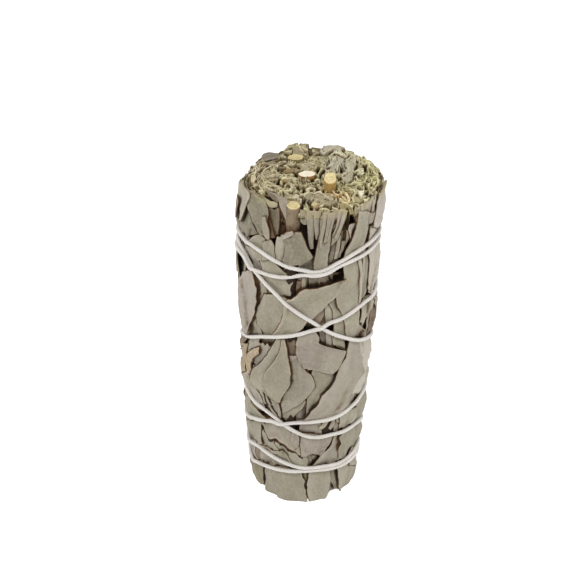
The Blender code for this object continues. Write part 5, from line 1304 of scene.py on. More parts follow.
# (level, tone, greener, line), wider where a fourth number says so
EDGES = (
    (0.35, 0.62, 0.1, 0.22, ((250, 169.5), (247.8, 167.5), (249, 165.2), (251.7, 164.2), (254.5, 165), (255.3, 167.3), (253.5, 169.3), (250.5, 169.8))),
    (0.25, 0.72, 0.0, 0.2, ((247.5, 172), (251, 172.6), (254, 172.3), (256.3, 170.6), (258.5, 169))),
    (0.2, 0.66, 0.0, 0.16, ((257.3, 161.5), (256.6, 164.5), (257.6, 167.8), (259.3, 169))),
    (0.15, 0.6, 0.1, 0.16, ((260.3, 162.5), (259.3, 165.3), (260.5, 167))),
    (0.1, 0.6, 0.2, 0.16, ((257, 168.8), (261, 167.6), (265, 165.7), (268, 163.5), (272, 162))),
    (0.3, 0.62, 0.3, 0.16, ((257.5, 161), (262, 159.6), (267, 159.2), (272, 158.8), (276, 157.4), (281, 156.4), (286, 157))),
    (0.2, 0.66, 0.35, 0.16, ((263, 170.3), (266, 168.6), (269.3, 166.8), (272.5, 164.5), (276, 162), (280, 160.7), (286, 161))),
    (0.15, 0.58, 0.35, 0.15, ((262, 171.5), (262.3, 174.3), (265, 175.8), (268.5, 175), (270.6, 172), (271.6, 168.3))),
    (0.1, 0.62, 0.4, 0.13, ((264.6, 172.5), (266.5, 171), (269, 170.7))),
    (0.3, 0.72, 0.4, 0.16, ((274.2, 167), (272.6, 169.5), (272.2, 173), (272.8, 176))),
    (0.3, 0.62, 0.1, 0.16, ((275.8, 167.6), (276.6, 171), (277.4, 174.3), (276.3, 177))),
    (0.1, 0.66, 0.0, 0.2, ((264.5, 177.3), (268.5, 177), (272, 177.2), (276, 178.2), (279, 180.4))),
    (0.2, 0.66, 0.3, 0.15, ((258.8, 175), (261, 176.4), (262.8, 178.5), (263.8, 180.6))),
    (0.15, 0.66, 0.35, 0.15, ((261, 174.8), (263.5, 176.2), (265, 178.6), (265.8, 180.4))),
    (0.3, 0.74, 0.25, 0.15, ((264, 181.3), (267, 181.7), (270, 182.8), (273.3, 184), (276.5, 184.4))),
    (0.3, 0.74, 0.25, 0.15, ((263.8, 183.7), (267, 184.8), (270.3, 185.8), (274.5, 186.2), (279, 186.6))),
    (0.35, 0.76, 0.15, 0.16, ((262, 184.8), (265, 186.9), (268.5, 188.7), (273, 189.6), (277.5, 189.4), (281.5, 188.3))),
    (0.45, 0.78, 0.8, 0.17, ((250.5, 185.6), (252.6, 184), (255, 184), (256.8, 185.8), (258.6, 188.3), (260.8, 190.3), (263.3, 191.6))),
    (0.4, 0.74, 0.8, 0.17, ((251, 188), (254, 187.8), (256, 190.2), (258.5, 191.9), (261.5, 192.4))),
    (0.5, 0.8, 0.35, 0.17, ((254, 181.8), (257, 183.6), (259.5, 186.6), (262.3, 189.2), (264.6, 191.6), (266.8, 193.2), (268.3, 196.4), (270.3, 199.3), (273.4, 202))),
    (0.2, 0.76, 0.85, 0.15, ((280.8, 180.2), (280.6, 182.6), (281.8, 185.3), (283, 187))),
    (0.2, 0.74, 0.7, 0.16, ((279.5, 191.2), (282.5, 190.4), (286, 191.3), (290, 190.7))),
    (0.35, 0.74, 0.0, 0.2, ((284, 188.6), (285.4, 186.4), (288, 185.2), (290.7, 185.8), (291.6, 188.3), (289.6, 190.3))),
    (0.35, 0.72, 0.3, 0.2, ((279.3, 175), (284, 174.5), (289, 174), (293, 174.6))),
    (0.2, 0.62, 0.6, 0.18, ((279.8, 177.4), (285, 177.6), (290, 176.8), (293.5, 176))),
    (0.2, 0.66, 0.4, 0.15, ((282, 179.3), (286, 178.9), (290.5, 178.9), (294.5, 180.6))),
    (0.35, 0.6, 0.25, 0.15, ((280, 155.8), (284, 154.2), (288, 153.4), (291.5, 153))),
    (0.4, 0.6, 0.15, 0.15, ((283, 151.8), (288, 151), (293, 150.2), (298, 149.6))),
    (0.5, 0.72, 0.1, 0.16, ((296.5, 148.9), (300, 150.4), (303, 151.7), (306, 153.3))),
    (0.6, 0.45, 0.0, 0.24, ((288, 149), (295, 147.4), (300, 145.8), (304, 145.3), (307, 146.6), (308.8, 149.5), (309.3, 152.6))),
    (0.2, 0.5, 0.0, 0.14, ((298.5, 147.6), (302.5, 147.2), (305.5, 148.6), (306.3, 151))),
    (0.5, 0.8, 0.3, 0.15, ((312, 155), (311.6, 157.2), (310, 159.3))),
    (0.3, 0.78, 0.35, 0.17, ((300, 165.6), (303.5, 164.3), (307, 162.9), (311, 162.3), (315.5, 161.5))),
    (0.2, 0.74, 0.35, 0.13, ((300.3, 167.4), (304, 165.9), (308, 164.6))),
    (0.2, 0.66, 0.3, 0.16, ((287, 167), (290.7, 168.6), (293.8, 170), (297, 172))),
    (0.25, 0.68, 0.35, 0.16, ((312.4, 165.5), (312.3, 168.6), (312.8, 171.2))),
    (0.2, 0.6, 0.4, 0.15, ((313, 153.4), (316.5, 152.4), (319.5, 152))),
    (0.15, 0.62, 0.4, 0.15, ((312.5, 157), (316.5, 157.6), (320, 158.8), (323.5, 161))),
    (0.1, 0.6, 0.45, 0.14, ((314, 160.2), (318, 160.6), (321.5, 162.6), (323.5, 165))),
    (0.8, 0.55, 0.0, 0.26, ((320.8, 150.6), (322.2, 147.6), (325.3, 146.2), (330, 146.8), (335, 148.7), (340, 150.8))),
    (0.35, 0.86, 0.1, 0.16, ((336.5, 155.8), (333.8, 158), (331.3, 160.8))),
    (0.3, 0.78, 0.45, 0.15, ((322.3, 167), (320.4, 169.8), (318.6, 173), (318, 175))),
    (0.35, 0.74, 0.1, 0.17, ((324.5, 168.6), (327.5, 166.4), (331, 164.5), (335.5, 161.8))),
    (0.25, 0.7, 0.1, 0.15, ((325.5, 171), (329, 169.2), (332.5, 167.6), (336, 167.4))),
    (0.2, 0.66, 0.4, 0.15, ((315.6, 166.5), (316.5, 169.5), (316, 172.6))),
    (0.25, 0.66, 0.35, 0.16, ((299, 183), (303, 183.6), (308, 183.3), (312, 184.3))),
    (0.3, 0.86, 0.1, 0.18, ((307, 187.6), (311, 186.3), (314, 186.8), (316.5, 188.6))),
    (0.2, 0.72, 0.5, 0.16, ((304.5, 191.8), (308.3, 190.8), (313, 191.6))),
    (0.35, 0.88, 0.1, 0.16, ((313.5, 193.3), (317.3, 191.8), (321.3, 191.4))),
    (0.6, 0.86, 0.05, 0.15, ((321, 191.8), (324.3, 194.2), (327.5, 197), (331, 200.3), (334, 203), (337, 205))),
    (0.2, 0.76, 0.2, 0.15, ((311, 200.2), (314.5, 198.9), (318, 198.6))),
    (0.25, 0.74, 0.2, 0.15, ((295, 190.4), (298.3, 192.2), (302, 193.7), (305, 195.4))),
    (0.2, 0.66, 0.3, 0.15, ((293.5, 181), (295.6, 183), (297, 185.6))),
    (0.25, 0.8, 0.5, 0.16, ((319.5, 205.6), (324, 205), (328.5, 206), (333, 207.4), (338, 208))),
    (0.2, 0.7, 0.5, 0.15, ((320, 208.5), (325, 208.2), (329, 209.4))),
    (0.3, 0.8, 0.6, 0.15, ((312.5, 213.6), (314, 211.3), (317, 211.3))),
    (0.3, 0.7, 0.8, 0.15, ((303.4, 203.2), (304.2, 207), (304, 211))),
    (0.3, 0.72, 0.8, 0.15, ((306.4, 203), (307.6, 206.5), (307.6, 211.5))),
    (0.3, 0.76, 0.55, 0.15, ((326, 213), (328, 210.4), (330.5, 210.3))),
    (0.3, 0.84, 0.45, 0.16, ((329.3, 213.4), (331, 210), (334, 209.3), (336.2, 211.3), (336.5, 215))),
    (0.3, 0.84, 0.4, 0.16, ((337.4, 213), (338.8, 210.2), (341, 210.6), (342.6, 213), (343, 216))),
    (0.35, 0.8, 0.35, 0.16, ((340.5, 208.3), (343.3, 209.5), (345.3, 212), (345.6, 214.4))),
    (0.5, 0.93, 0.0, 0.2, ((346, 191.2), (348, 193.8), (349.3, 197), (349, 199.2))),
    (0.4, 0.92, 0.0, 0.18, ((347.5, 200.7), (344.3, 201), (341.2, 200.2), (338.6, 200.8))),
    (0.3, 0.8, 0.0, 0.15, ((341.8, 194.6), (344.4, 195.5), (346.2, 197.4))),
    (0.25, 0.9, 0.1, 0.13, ((333.5, 190.8), (335.2, 193), (338.4, 193.6))),
    (0.3, 0.86, 0.1, 0.14, ((331, 193.5), (333.5, 195.6), (336.4, 195.4))),
    (0.35, 0.9, 0.0, 0.14, ((340.6, 190.2), (342.3, 192.3), (344.6, 192.6))),
    (0.3, 0.74, 0.2, 0.16, ((344, 202.3), (349, 202.6), (353, 200.6))),
    (0.3, 0.8, 0.1, 0.15, ((355.5, 191.3), (353.4, 194.6), (351.6, 198))),
    (0.4, 0.8, 0.8, 0.17, ((362.5, 197.6), (366, 197.6), (369.3, 196))),
    (0.3, 0.82, 0.4, 0.18, ((359.5, 200.8), (364, 200.2), (368.5, 200.4))),
    (0.3, 0.76, 0.9, 0.18, ((356, 180), (360, 180.8), (364.5, 179.6), (366.8, 176))),
    (0.35, 0.8, 0.8, 0.17, ((356, 175.5), (358, 177.4), (361, 178.3))),
    (0.3, 0.76, 0.95, 0.18, ((368, 166.5), (370.5, 170), (373, 173.5), (376, 177), (377.8, 181), (377.8, 185))),
    (0.25, 0.72, 0.9, 0.16, ((362, 162), (366, 164), (369.5, 166.5))),
    (0.25, 0.72, 0.7, 0.15, ((357.5, 160), (359.3, 163), (358.8, 166.5))),
    (0.3, 0.8, 0.3, 0.15, ((345, 155.8), (349, 157), (352.5, 158.6), (357, 159))),
    (0.25, 0.76, 0.3, 0.16, ((338, 154), (342, 155.5), (345.5, 158))),
    (0.25, 0.74, 0.5, 0.15, ((346, 181.6), (350, 182.4), (354, 181.4), (358, 181.6))),
    (0.25, 0.74, 0.5, 0.15, ((345, 184.3), (349, 185.4), (352.6, 187.4), (354.5, 190.6))),
    (0.2, 0.74, 0.5, 0.15, ((356.3, 184), (356.3, 187.4), (358.5, 189.4))),
    (0.25, 0.72, 0.6, 0.15, ((368.6, 183), (368.8, 187), (370.6, 190.6), (373.6, 192.3))),
    (0.25, 0.74, 0.6, 0.15, ((363.5, 184.5), (363.8, 188), (361.5, 190.3))),
    (0.25, 0.72, 0.55, 0.15, ((371.5, 187.5), (374.6, 187.8), (377, 190.5), (376.6, 194))),
    (0.25, 0.7, 0.6, 0.15, ((357, 204), (360, 206.4), (364, 206.8), (368, 205))),
    (0.25, 0.72, 0.55, 0.15, ((357.5, 209.4), (361.5, 209.2), (366, 207.6))),
    (0.2, 0.7, 0.2, 0.15, ((336, 181), (338.5, 183.3), (340.5, 186.5))),
)
for number, (level, tone, greener, half, line) in enumerate(EDGES):
    xs, ys = on_level(*np.array(line, float).T, TOP + level)
    look = dict(fresh=greener)
    if tone > 0.9:
        look["gold"] = 0.95
    leaf_edge(xs, ys, half, level, 4.5, seed=2000.0 + number * 3.1, ends=0.15, tone=tone, **look)

# Openings between them, each from one spot to another on the view: sunk pits, painted dark with shade as well.
OPENINGS = (
    (250.6, 166, 251.8, 167.3, 0.45), (249.7, 175.5, 248.6, 182, 0.3), (259.3, 172.2, 259.8, 173, 0.4), (267.5, 165.8, 268, 166.3, 0.4), (277.5, 167.5, 278, 171, 0.3),
    (274.6, 173.6, 274.8, 174.6, 0.42), (267, 179.3, 269, 179.3, 0.4), (272, 178.6, 276.5, 178.4, 0.3), (279.4, 179, 277.5, 185.5, 0.38), (273, 163.2, 275, 162.3, 0.35),
    (256.8, 186.6, 259.3, 190, 0.3), (252.3, 189.5, 251, 192, 0.3), (276.5, 159.4, 283.5, 158.6, 0.28), (282, 153.2, 282.5, 153.4, 0.32), (284.5, 155.5, 287.5, 155.2, 0.22),
    (285, 184.5, 284.2, 186, 0.4), (281.5, 186.7, 283.2, 189, 0.38), (288.3, 187.4, 288.8, 188.6, 0.5), (290.3, 171.4, 292, 171.4, 0.42), (296.5, 172.5, 297.5, 178.5, 0.5),
    (294.4, 176.3, 295, 176.8, 0.4), (298.4, 166.8, 299.6, 168, 0.35), (304.3, 162.3, 305.3, 162.3, 0.3), (310.6, 169.4, 311.8, 168.6, 0.3), (298.5, 148, 302, 149.2, 0.3),
    (310.2, 151, 310.6, 155, 0.5), (321.2, 148.6, 321, 151.4, 0.35), (317.2, 171.5, 318.6, 167.3, 0.42), (319.4, 174.7, 323.7, 169.6, 0.38), (317.4, 178, 321.7, 178.6, 0.72),
    (320, 182.8, 322, 183.6, 0.5), (316, 182.8, 318, 182, 0.35), (323.5, 163.5, 326.5, 163.8, 0.35), (327, 168.4, 328.8, 167.4, 0.35), (325.6, 175, 326, 175.4, 0.3),
    (303.6, 184.3, 306.4, 184.1, 0.28), (311, 184.4, 315.5, 184, 0.3), (303.4, 187.8, 304.2, 189.4, 0.42), (297, 186.5, 298.4, 189.3, 0.5), (316.5, 186, 318.6, 189, 0.5),
    (316.5, 189.5, 321.6, 189.3, 0.32), (322.2, 189.4, 322.9, 192, 0.45), (298.6, 192.7, 298.4, 194, 0.35), (290.6, 193, 292, 195.2, 0.6), (302, 195.6, 300.4, 199.4, 0.42),
    (304, 199, 303.4, 201.6, 0.45), (312, 194.5, 314, 195.5, 0.3), (301, 202.8, 302.4, 207, 0.5), (311.3, 206, 311.5, 209.4, 0.4), (324.5, 201.5, 328.5, 203, 0.35),
    (333, 197.3, 336.5, 198.4, 0.6), (336.6, 202.6, 340, 201.4, 0.5), (336.8, 204.5, 336.4, 206.6, 0.35), (341, 168, 341.8, 171.6, 0.42), (343.6, 172.8, 344.4, 173.6, 0.42),
    (337, 176.6, 338, 177.6, 0.42), (339, 178.6, 342, 180.6, 0.28), (357.4, 166, 355, 169.6, 0.36), (358.5, 170.6, 354.8, 173, 0.36), (358.6, 174.3, 359.6, 176.4, 0.34),
    (354.2, 177, 355, 177.4, 0.32), (365.2, 168.5, 365.8, 171.5, 0.48), (364.6, 172.6, 364, 173.3, 0.3), (369.8, 178.6, 373.8, 177.8, 0.3), (367, 180.3, 367.4, 179.6, 0.38),
    (358, 185.6, 359.3, 186, 0.62), (367.2, 189.5, 367, 191.8, 0.55), (374.8, 192.8, 374.2, 194.8, 0.34), (371.2, 184.6, 373.5, 186, 0.28), (361, 199.5, 362.2, 199.3, 0.3),
    (354.3, 202, 354.8, 206.5, 0.36), (347.3, 207, 348.6, 209, 0.4), (348.6, 209, 348.8, 213.5, 0.4), (346, 151.8, 348, 153, 0.26), (340.5, 153.9, 342, 153.2, 0.28),
    (345.3, 189.2, 345.7, 190.2, 0.34), (336.4, 188.4, 337.4, 187.8, 0.4), (340.4, 195.2, 340.8, 196.4, 0.36), (348, 192, 349, 192.3, 0.3), (363, 161.5, 365, 162.8, 0.22),
    (302.5, 170.6, 305, 170.4, 0.22), (351, 186.3, 352, 186.5, 0.28), (343.3, 193.4, 343.7, 194, 0.3), (335.6, 171, 337.5, 173, 0.25), (350.8, 196.5, 351.3, 199, 0.25),
)
for x0, y0, x1, y1, size in OPENINGS:
    size *= 0.92 - 0.2 * float(np.clip((x0 - 325) / 30, 0, 1))
    (ax, bx), (ay, by) = on_level((x0, x1), (y0, y1), TOP)
    box = block(np.array([ax, bx]), np.array([ay, by]), 2.2)
    long2 = max((bx - ax) ** 2 + (by - ay) ** 2, 1e-6)
    t = np.clip(((gx[box] - ax) * (bx - ax) + (gy[box] - ay) * (by - ay)) / long2, 0, 1)
    far = np.hypot(gx[box] - ax - t * (bx - ax), gy[box] - ay - t * (by - ay))
    share = 1 - step_up(far, size * 0.65, size * 1.35)
    high[box] -= 2.4 * share
    paint["off"][box] = np.maximum(paint["off"][box], 0.5 * share)
high += 0.05 * fractal(gx / 0.33, gy / 0.33, 0.0, 70, 2)
# Painted shade on the cut face: darker where it lies below its surroundings or below its broad shape, and in the pit;
# less at the rim
mean = blurred(high, 22)
sunk_shade = np.clip(step_up(mean - high, -0.02, 0.75), 0, 1) * 0.9
sunk_shade = np.maximum(sunk_shade, 0.75 * step_up(macro - 0.75 - high, 0.0, 1.2))
sunk_shade = np.maximum(sunk_shade, 0.55 * step_up(-1.2 - macro, 0.0, 2.4) * pit)
sunk_shade *= 1 - 0.75 * step_up(out_by, rim_at - 0.3, rim_at + 0.4)


def share_at(z, turn):
    """Size of the packs' cross-section at each height and angle against that of the cut face."""
    lip = step_up(z, TOP - 1.3, TOP - 0.15)
    inner = inner_radius(z) + bulge(turn, z) - lean_in(turn, z)
    rim = by_turn(RIM_LINE, turn) + shoulder(turn)
    return (inner + (rim - inner) * lip) / rim


cell_at = (nodes_at[:-1] + nodes_at[1:]) / 2
cx, cy = np.meshgrid(cell_at, cell_at, indexing="ij")
wcx = cx + 1.3 * noise(cx / 3.6, cy / 3.6, 0.0, 51) + 0.5 * noise(cx / 1.3, cy / 1.3, 0.0, 52)
wcy = cy + 1.3 * noise(cx / 3.6, cy / 3.6, 4.0, 53) + 0.5 * noise(cx / 1.3, cy / 1.3, 4.0, 54)
owner = np.argmin(np.stack([np.hypot(wcx - px, wcy - py) for px, py in PACKS]), axis=0)
inside_rim = np.hypot(cx, cy) < rim_reach(np.arctan2(cx, -cy))
for name, sx, sy, r, *_ in STEMS:
    wide_by = 0.55 if name == "stem_petiole" else 1.0
    inside_rim &= np.hypot(cx - sx, (cy - sy) / wide_by) > r + 0.03
owner = np.where(inside_rim, owner, -1)


def one_patch(mask):
    """The largest connected part of a mask, without corners that only touch."""
    mask = mask.copy()
    for _ in range(6):
        a, b, c, d = mask[:-1, :-1], mask[1:, :-1], mask[:-1, 1:], mask[1:, 1:]
        first = a & d & ~b & ~c
        second = b & c & ~a & ~d
        if not (first.any() or second.any()):
            break
        mask[:-1, :-1] &= ~first
        mask[1:, :-1] &= ~second
    label = np.zeros(mask.shape, int)
    best, size = 0, 0
    count = 0
    for start in zip(*np.nonzero(mask)):
        if label[start]:
            continue
        count += 1
        label[start] = count
        todo, here = [start], 0
        while todo:
            i, j = todo.pop()
            here += 1
            for p, q in ((i + 1, j), (i - 1, j), (i, j + 1), (i, j - 1)):
                if 0 <= p < mask.shape[0] and 0 <= q < mask.shape[1] and mask[p, q] and not label[p, q]:
                    label[p, q] = count
                    todo.append((p, q))
        if here > size:
            best, size = count, here
    return label == best


DROPS = (0.35, 0.8, 1.5, 4.0, 8.5, 15.0, 22.0, 40.0, 60.0, 80.0, 94.0)


def make_pack(index):
    mask = one_patch(owner == index)
    n = mask.shape[0] + 1
    cells = np.argwhere(mask)
    corner = cells[:, 0] * n + cells[:, 1]
    quads = np.c_[corner, corner + n, corner + n + 1, corner + 1]
    used, compact = np.unique(quads, return_inverse=True)
    quads = compact.reshape(-1, 4)
    x, y = nodes_at[used // n].copy(), nodes_at[used % n].copy()
    edges = {(f[k], f[(k + 1) % 4]) for f in quads.tolist() for k in range(4)}
    border = sorted((a, b) for a, b in edges if (b, a) not in edges)
    after, before = {a: b for a, b in border}, {b: a for a, b in border}
    loop = np.array(sorted(after))
    ahead, behind = np.array([after[v] for v in loop]), np.array([before[v] for v in loop])
    for _ in range(4):
        nx, ny = (2 * x[loop] + x[ahead] + x[behind]) / 4, (2 * y[loop] + y[ahead] + y[behind]) / 4
        x[loop], y[loop] = nx, ny
    wx, wy = x[ahead] - x[behind], y[ahead] - y[behind]
    size = np.maximum(np.hypot(wx, wy), 1e-6)
    x[loop] -= 0.05 * wy / size
    y[loop] += 0.05 * wx / size
    surface = high.ravel()[used]
    top = TOP + surface
    mirrored = (side_cells - used // n) * n + used % n
    foot = 0.1 + 0.4 * np.clip(0.3 - high.ravel()[mirrored], 0, 1.4)
    count = len(x)

    def placed(px, py, z):
        share = share_at(np.clip(z, 0, TOP), np.arctan2(px, -py))
        return np.stack([(px * share + axis_x(z) + CENTRE_X) * MM, (py * share + CENTRE_Y) * MM, z * MM], axis=-1)

    full = np.stack([(x + axis_x(top) + CENTRE_X) * MM, (y + CENTRE_Y) * MM, top * MM], axis=-1)
    points = [full, placed(x, y, foot)]
    faces = [tuple(f) for f in quads] + [tuple(f[::-1] + count) for f in quads]
    where_on = {v: k for k, v in enumerate(loop)}
    levels = []
    start = 2 * count
    for m, drop in enumerate(DROPS):
        z = np.minimum(TOP - drop + 0 * x[loop], top[loop] - 0.12 * (m + 1))
        sway = 0.3 * noise(x[loop] / 2.0, y[loop] / 2.0, z / 5.0, 75) * (drop > 1)
        out = np.hypot(x[loop], y[loop]) + 0.1
        points.append(placed(x[loop] * (1 + sway / out), y[loop] * (1 + sway / out), z))
        levels.append(start)
        start += len(loop)
    for a, b in border:
        i, j = where_on[a], where_on[b]
        column_a = [a] + [base + i for base in levels] + [a + count]
        column_b = [b] + [base + j for base in levels] + [b + count]
        for k in range(len(column_a) - 1):
            faces.append((column_b[k], column_a[k], column_a[k + 1], column_b[k + 1]))
    points = np.concatenate(points)
    obj = new_piece(f"pressed_leaves_{index + 1}", points, faces, cut_look, "pack", (f"pack_{index + 1}",), crisp=60.0)
    outward(obj)
    fill = len(points) - 2 * count
    # Painted shade: the pack's walls below the cut face are painted dark, less just under the rim, and so is its foot;
    # the bottom takes 0.6 of the top's tone
    rim_side = step_up(np.hypot(x[loop], y[loop]), by_turn(RIM_LINE, np.arctan2(x[loop], -y[loop])) - 0.6, by_turn(RIM_LINE, np.arctan2(x[loop], -y[loop])) + 0.1)
    wall_shade = np.concatenate([(0.5 if drop < 0.5 else 0.95) * (1 - (0.75 if drop < 3 else 0.0) * rim_side) for drop in DROPS])
    set_values(obj.data, "deep", np.concatenate([sunk_shade.ravel()[used], 0.3 + 0.6 * step_up(foot, 0.15, 0.5), wall_shade]))
    for key, values in paint.items():
        here = values.ravel()[used]
        set_values(obj.data, key, np.concatenate([here, here if key == "off" else here * 0.6, np.full(fill, 0.6 if key == "off" else 0.2)]))


for index in range(len(PACKS)):
    make_pack(index)

# Leaf ends that lie on the cut face: (name, level, rows of left and right edges as seen, manner).
ON_TOP = (
    ("tip_back_left", 102.2, ((261.3, 157.5, 262.0, 158.5), (264, 154.2, 266, 159.5), (270, 153.2, 272, 158.5), (277, 154.0, 278, 157.0)), dict(tone=0.3, warm=0.6, rise=0.5)),
)


def make_fragment(name, level, rows, tone, warm, rise, tan=0.0):
    rows = np.array(rows, float)
    left = np.array([on_level(x, y, level) for x, y, _, _ in rows])
    right = np.array([on_level(x, y, level) for _, _, x, y in rows])
    middle = (left + right) / 2
    run = np.r_[0.0, np.cumsum(np.hypot(*np.diff(middle, axis=0).T))]
    nu = max(8, int(run[-1] / 0.25))
    nv = max(6, int(np.hypot(*(right - left).T).max() / 0.25))
    u = np.linspace(0, run[-1], nu)
    lo = np.c_[smooth(u, run, left[:, 0]), smooth(u, run, left[:, 1])]
    hi = np.c_[smooth(u, run, right[:, 0]), smooth(u, run, right[:, 1])]
    w = np.linspace(0, 1, nv)[None, :, None]
    flat = lo[:, None] * (1 - w) + hi[:, None] * w
    x, y = flat[..., 0], flat[..., 1]
    sv = 2 * w[..., 0] - 1 + 0 * x
    seed = len(name) * 3.7 + level
    z = level + rise * (1 - sv**2) - 0.35 * (rise > 0) * sv + 0.2 * fractal(x / 1.6, y / 1.6, seed, 81, 2)
    points = np.concatenate([
        np.stack([(x + axis_x(z) + CENTRE_X) * MM, (y + CENTRE_Y) * MM, z * MM], axis=-1).reshape(-1, 3),
        np.stack([(x + axis_x(z) + CENTRE_X) * MM, (y + CENTRE_Y) * MM, (z - 0.26) * MM], axis=-1).reshape(-1, 3),
    ])
    outside, rims, inside = grid_faces(nu, nv)
    obj = new_piece(name, points, np.concatenate([outside, rims, inside]), leaf_look, "leaf")
    outward(obj)
    leaf = dict(
        z=z, u=u[:, None] + 0 * x, v=sv * 2, beside=(1 - np.abs(sv)) * 1.2, away=np.minimum(u, run[-1] - u)[:, None] + 0 * x,
        tone=tone, warm=warm, tan=tan, rim=0.4, skew=0.0, fresh=-1.0,
    )
    # slight painted shade on the outside, and the underside painted dark as shade
    leaf_values(obj.data, leaf, 0 * z + 0.08, 0 * z + 0.9)


for name, level, rows, manner in ON_TOP:
    make_fragment(name, level, rows, **manner)


# -------------------------------------------------------------------------------------------- stems
def bark_material(name, dark, light):
    material, tree, shader = node_material(name)
    n = Nodes(tree)
    place = n.place()
    stretched = tree.nodes.new("ShaderNodeMapping")
    stretched.inputs["Scale"].default_value = (1.0, 1.0, 0.16)
    tree.links.new(place, stretched.inputs["Vector"])
    streaks = n.noise(stretched.outputs[0], 1500.0, 4.0, 0.6, 0.4)
    blotch = n.noise(place, 420.0, 3.0)
    colour = n.mix(streaks, dark, light)
    colour = n.mix(n.math("MULTIPLY", n.span(blotch, 0.5, 0.66), 0.6), colour, srgb(84, 62, 40))
    cut, kind, ring = n.number("cut"), n.number("kind"), n.number("ring")
    pith = n.noise(place, 1300.0, 4.0, 0.7)
    yellow = n.mix(pith, srgb(206, 186, 126), srgb(246, 232, 184))
    cream = n.mix(pith, srgb(244, 228, 186), srgb(255, 252, 240))
    brown = n.mix(pith, srgb(112, 94, 60), srgb(168, 148, 106))
    face = n.mix(n.span(kind, 0.5, 1.0), n.mix(n.span(kind, 0.0, 0.5, 1.0, 0.0), yellow, brown), cream)
    face = n.mix(n.math("MULTIPLY", n.span(ring, 0.88, 1.0), 0.45), face, srgb(170, 136, 78))
    face = n.mix(n.math("MULTIPLY", n.span(ring, 0.04, 0.26, 1.0, 0.0), 0.2), face, srgb(190, 160, 106))
    cracks = n.span(n.noise(place, 620.0, 2.0, 0.5, 1.5), 0.50, 0.47)
    face = n.mix(n.math("MULTIPLY", n.math("MULTIPLY", cracks, n.span(ring, 0.95, 0.6)), n.span(kind, 0.5, 1.0, 0.25, 0.06)), face, srgb(120, 92, 54))
    colour = n.mix(cut, colour, face)
    colour = n.with_painted_shade(colour, n.number("deep"))
    n.link(colour, shader.inputs["Base Color"])
    n.link(n.span(streaks, 0.2, 0.8, 0.62, 0.86), shader.inputs["Roughness"])
    shader.inputs["Specular IOR Level"].default_value = 0.25
    height = n.math("ADD", n.math("MULTIPLY", streaks, 0.8), n.math("MULTIPLY", pith, 0.7))
    n.link(n.bump(height, 0.8, 0.00025), shader.inputs["Normal"])
    return material


BARK = {
    "olive": bark_material("bark_olive", srgb(104, 88, 54), srgb(150, 132, 92)),
    "orange": bark_material("bark_orange", srgb(128, 74, 26), srgb(200, 156, 98)),
    "golden": bark_material("bark_golden", srgb(138, 104, 50), srgb(206, 174, 108)),
    "grey": bark_material("bark_grey", srgb(96, 82, 62), srgb(160, 144, 120)),
    "pink": bark_material("bark_pink", srgb(128, 98, 76), srgb(170, 144, 118)),
}


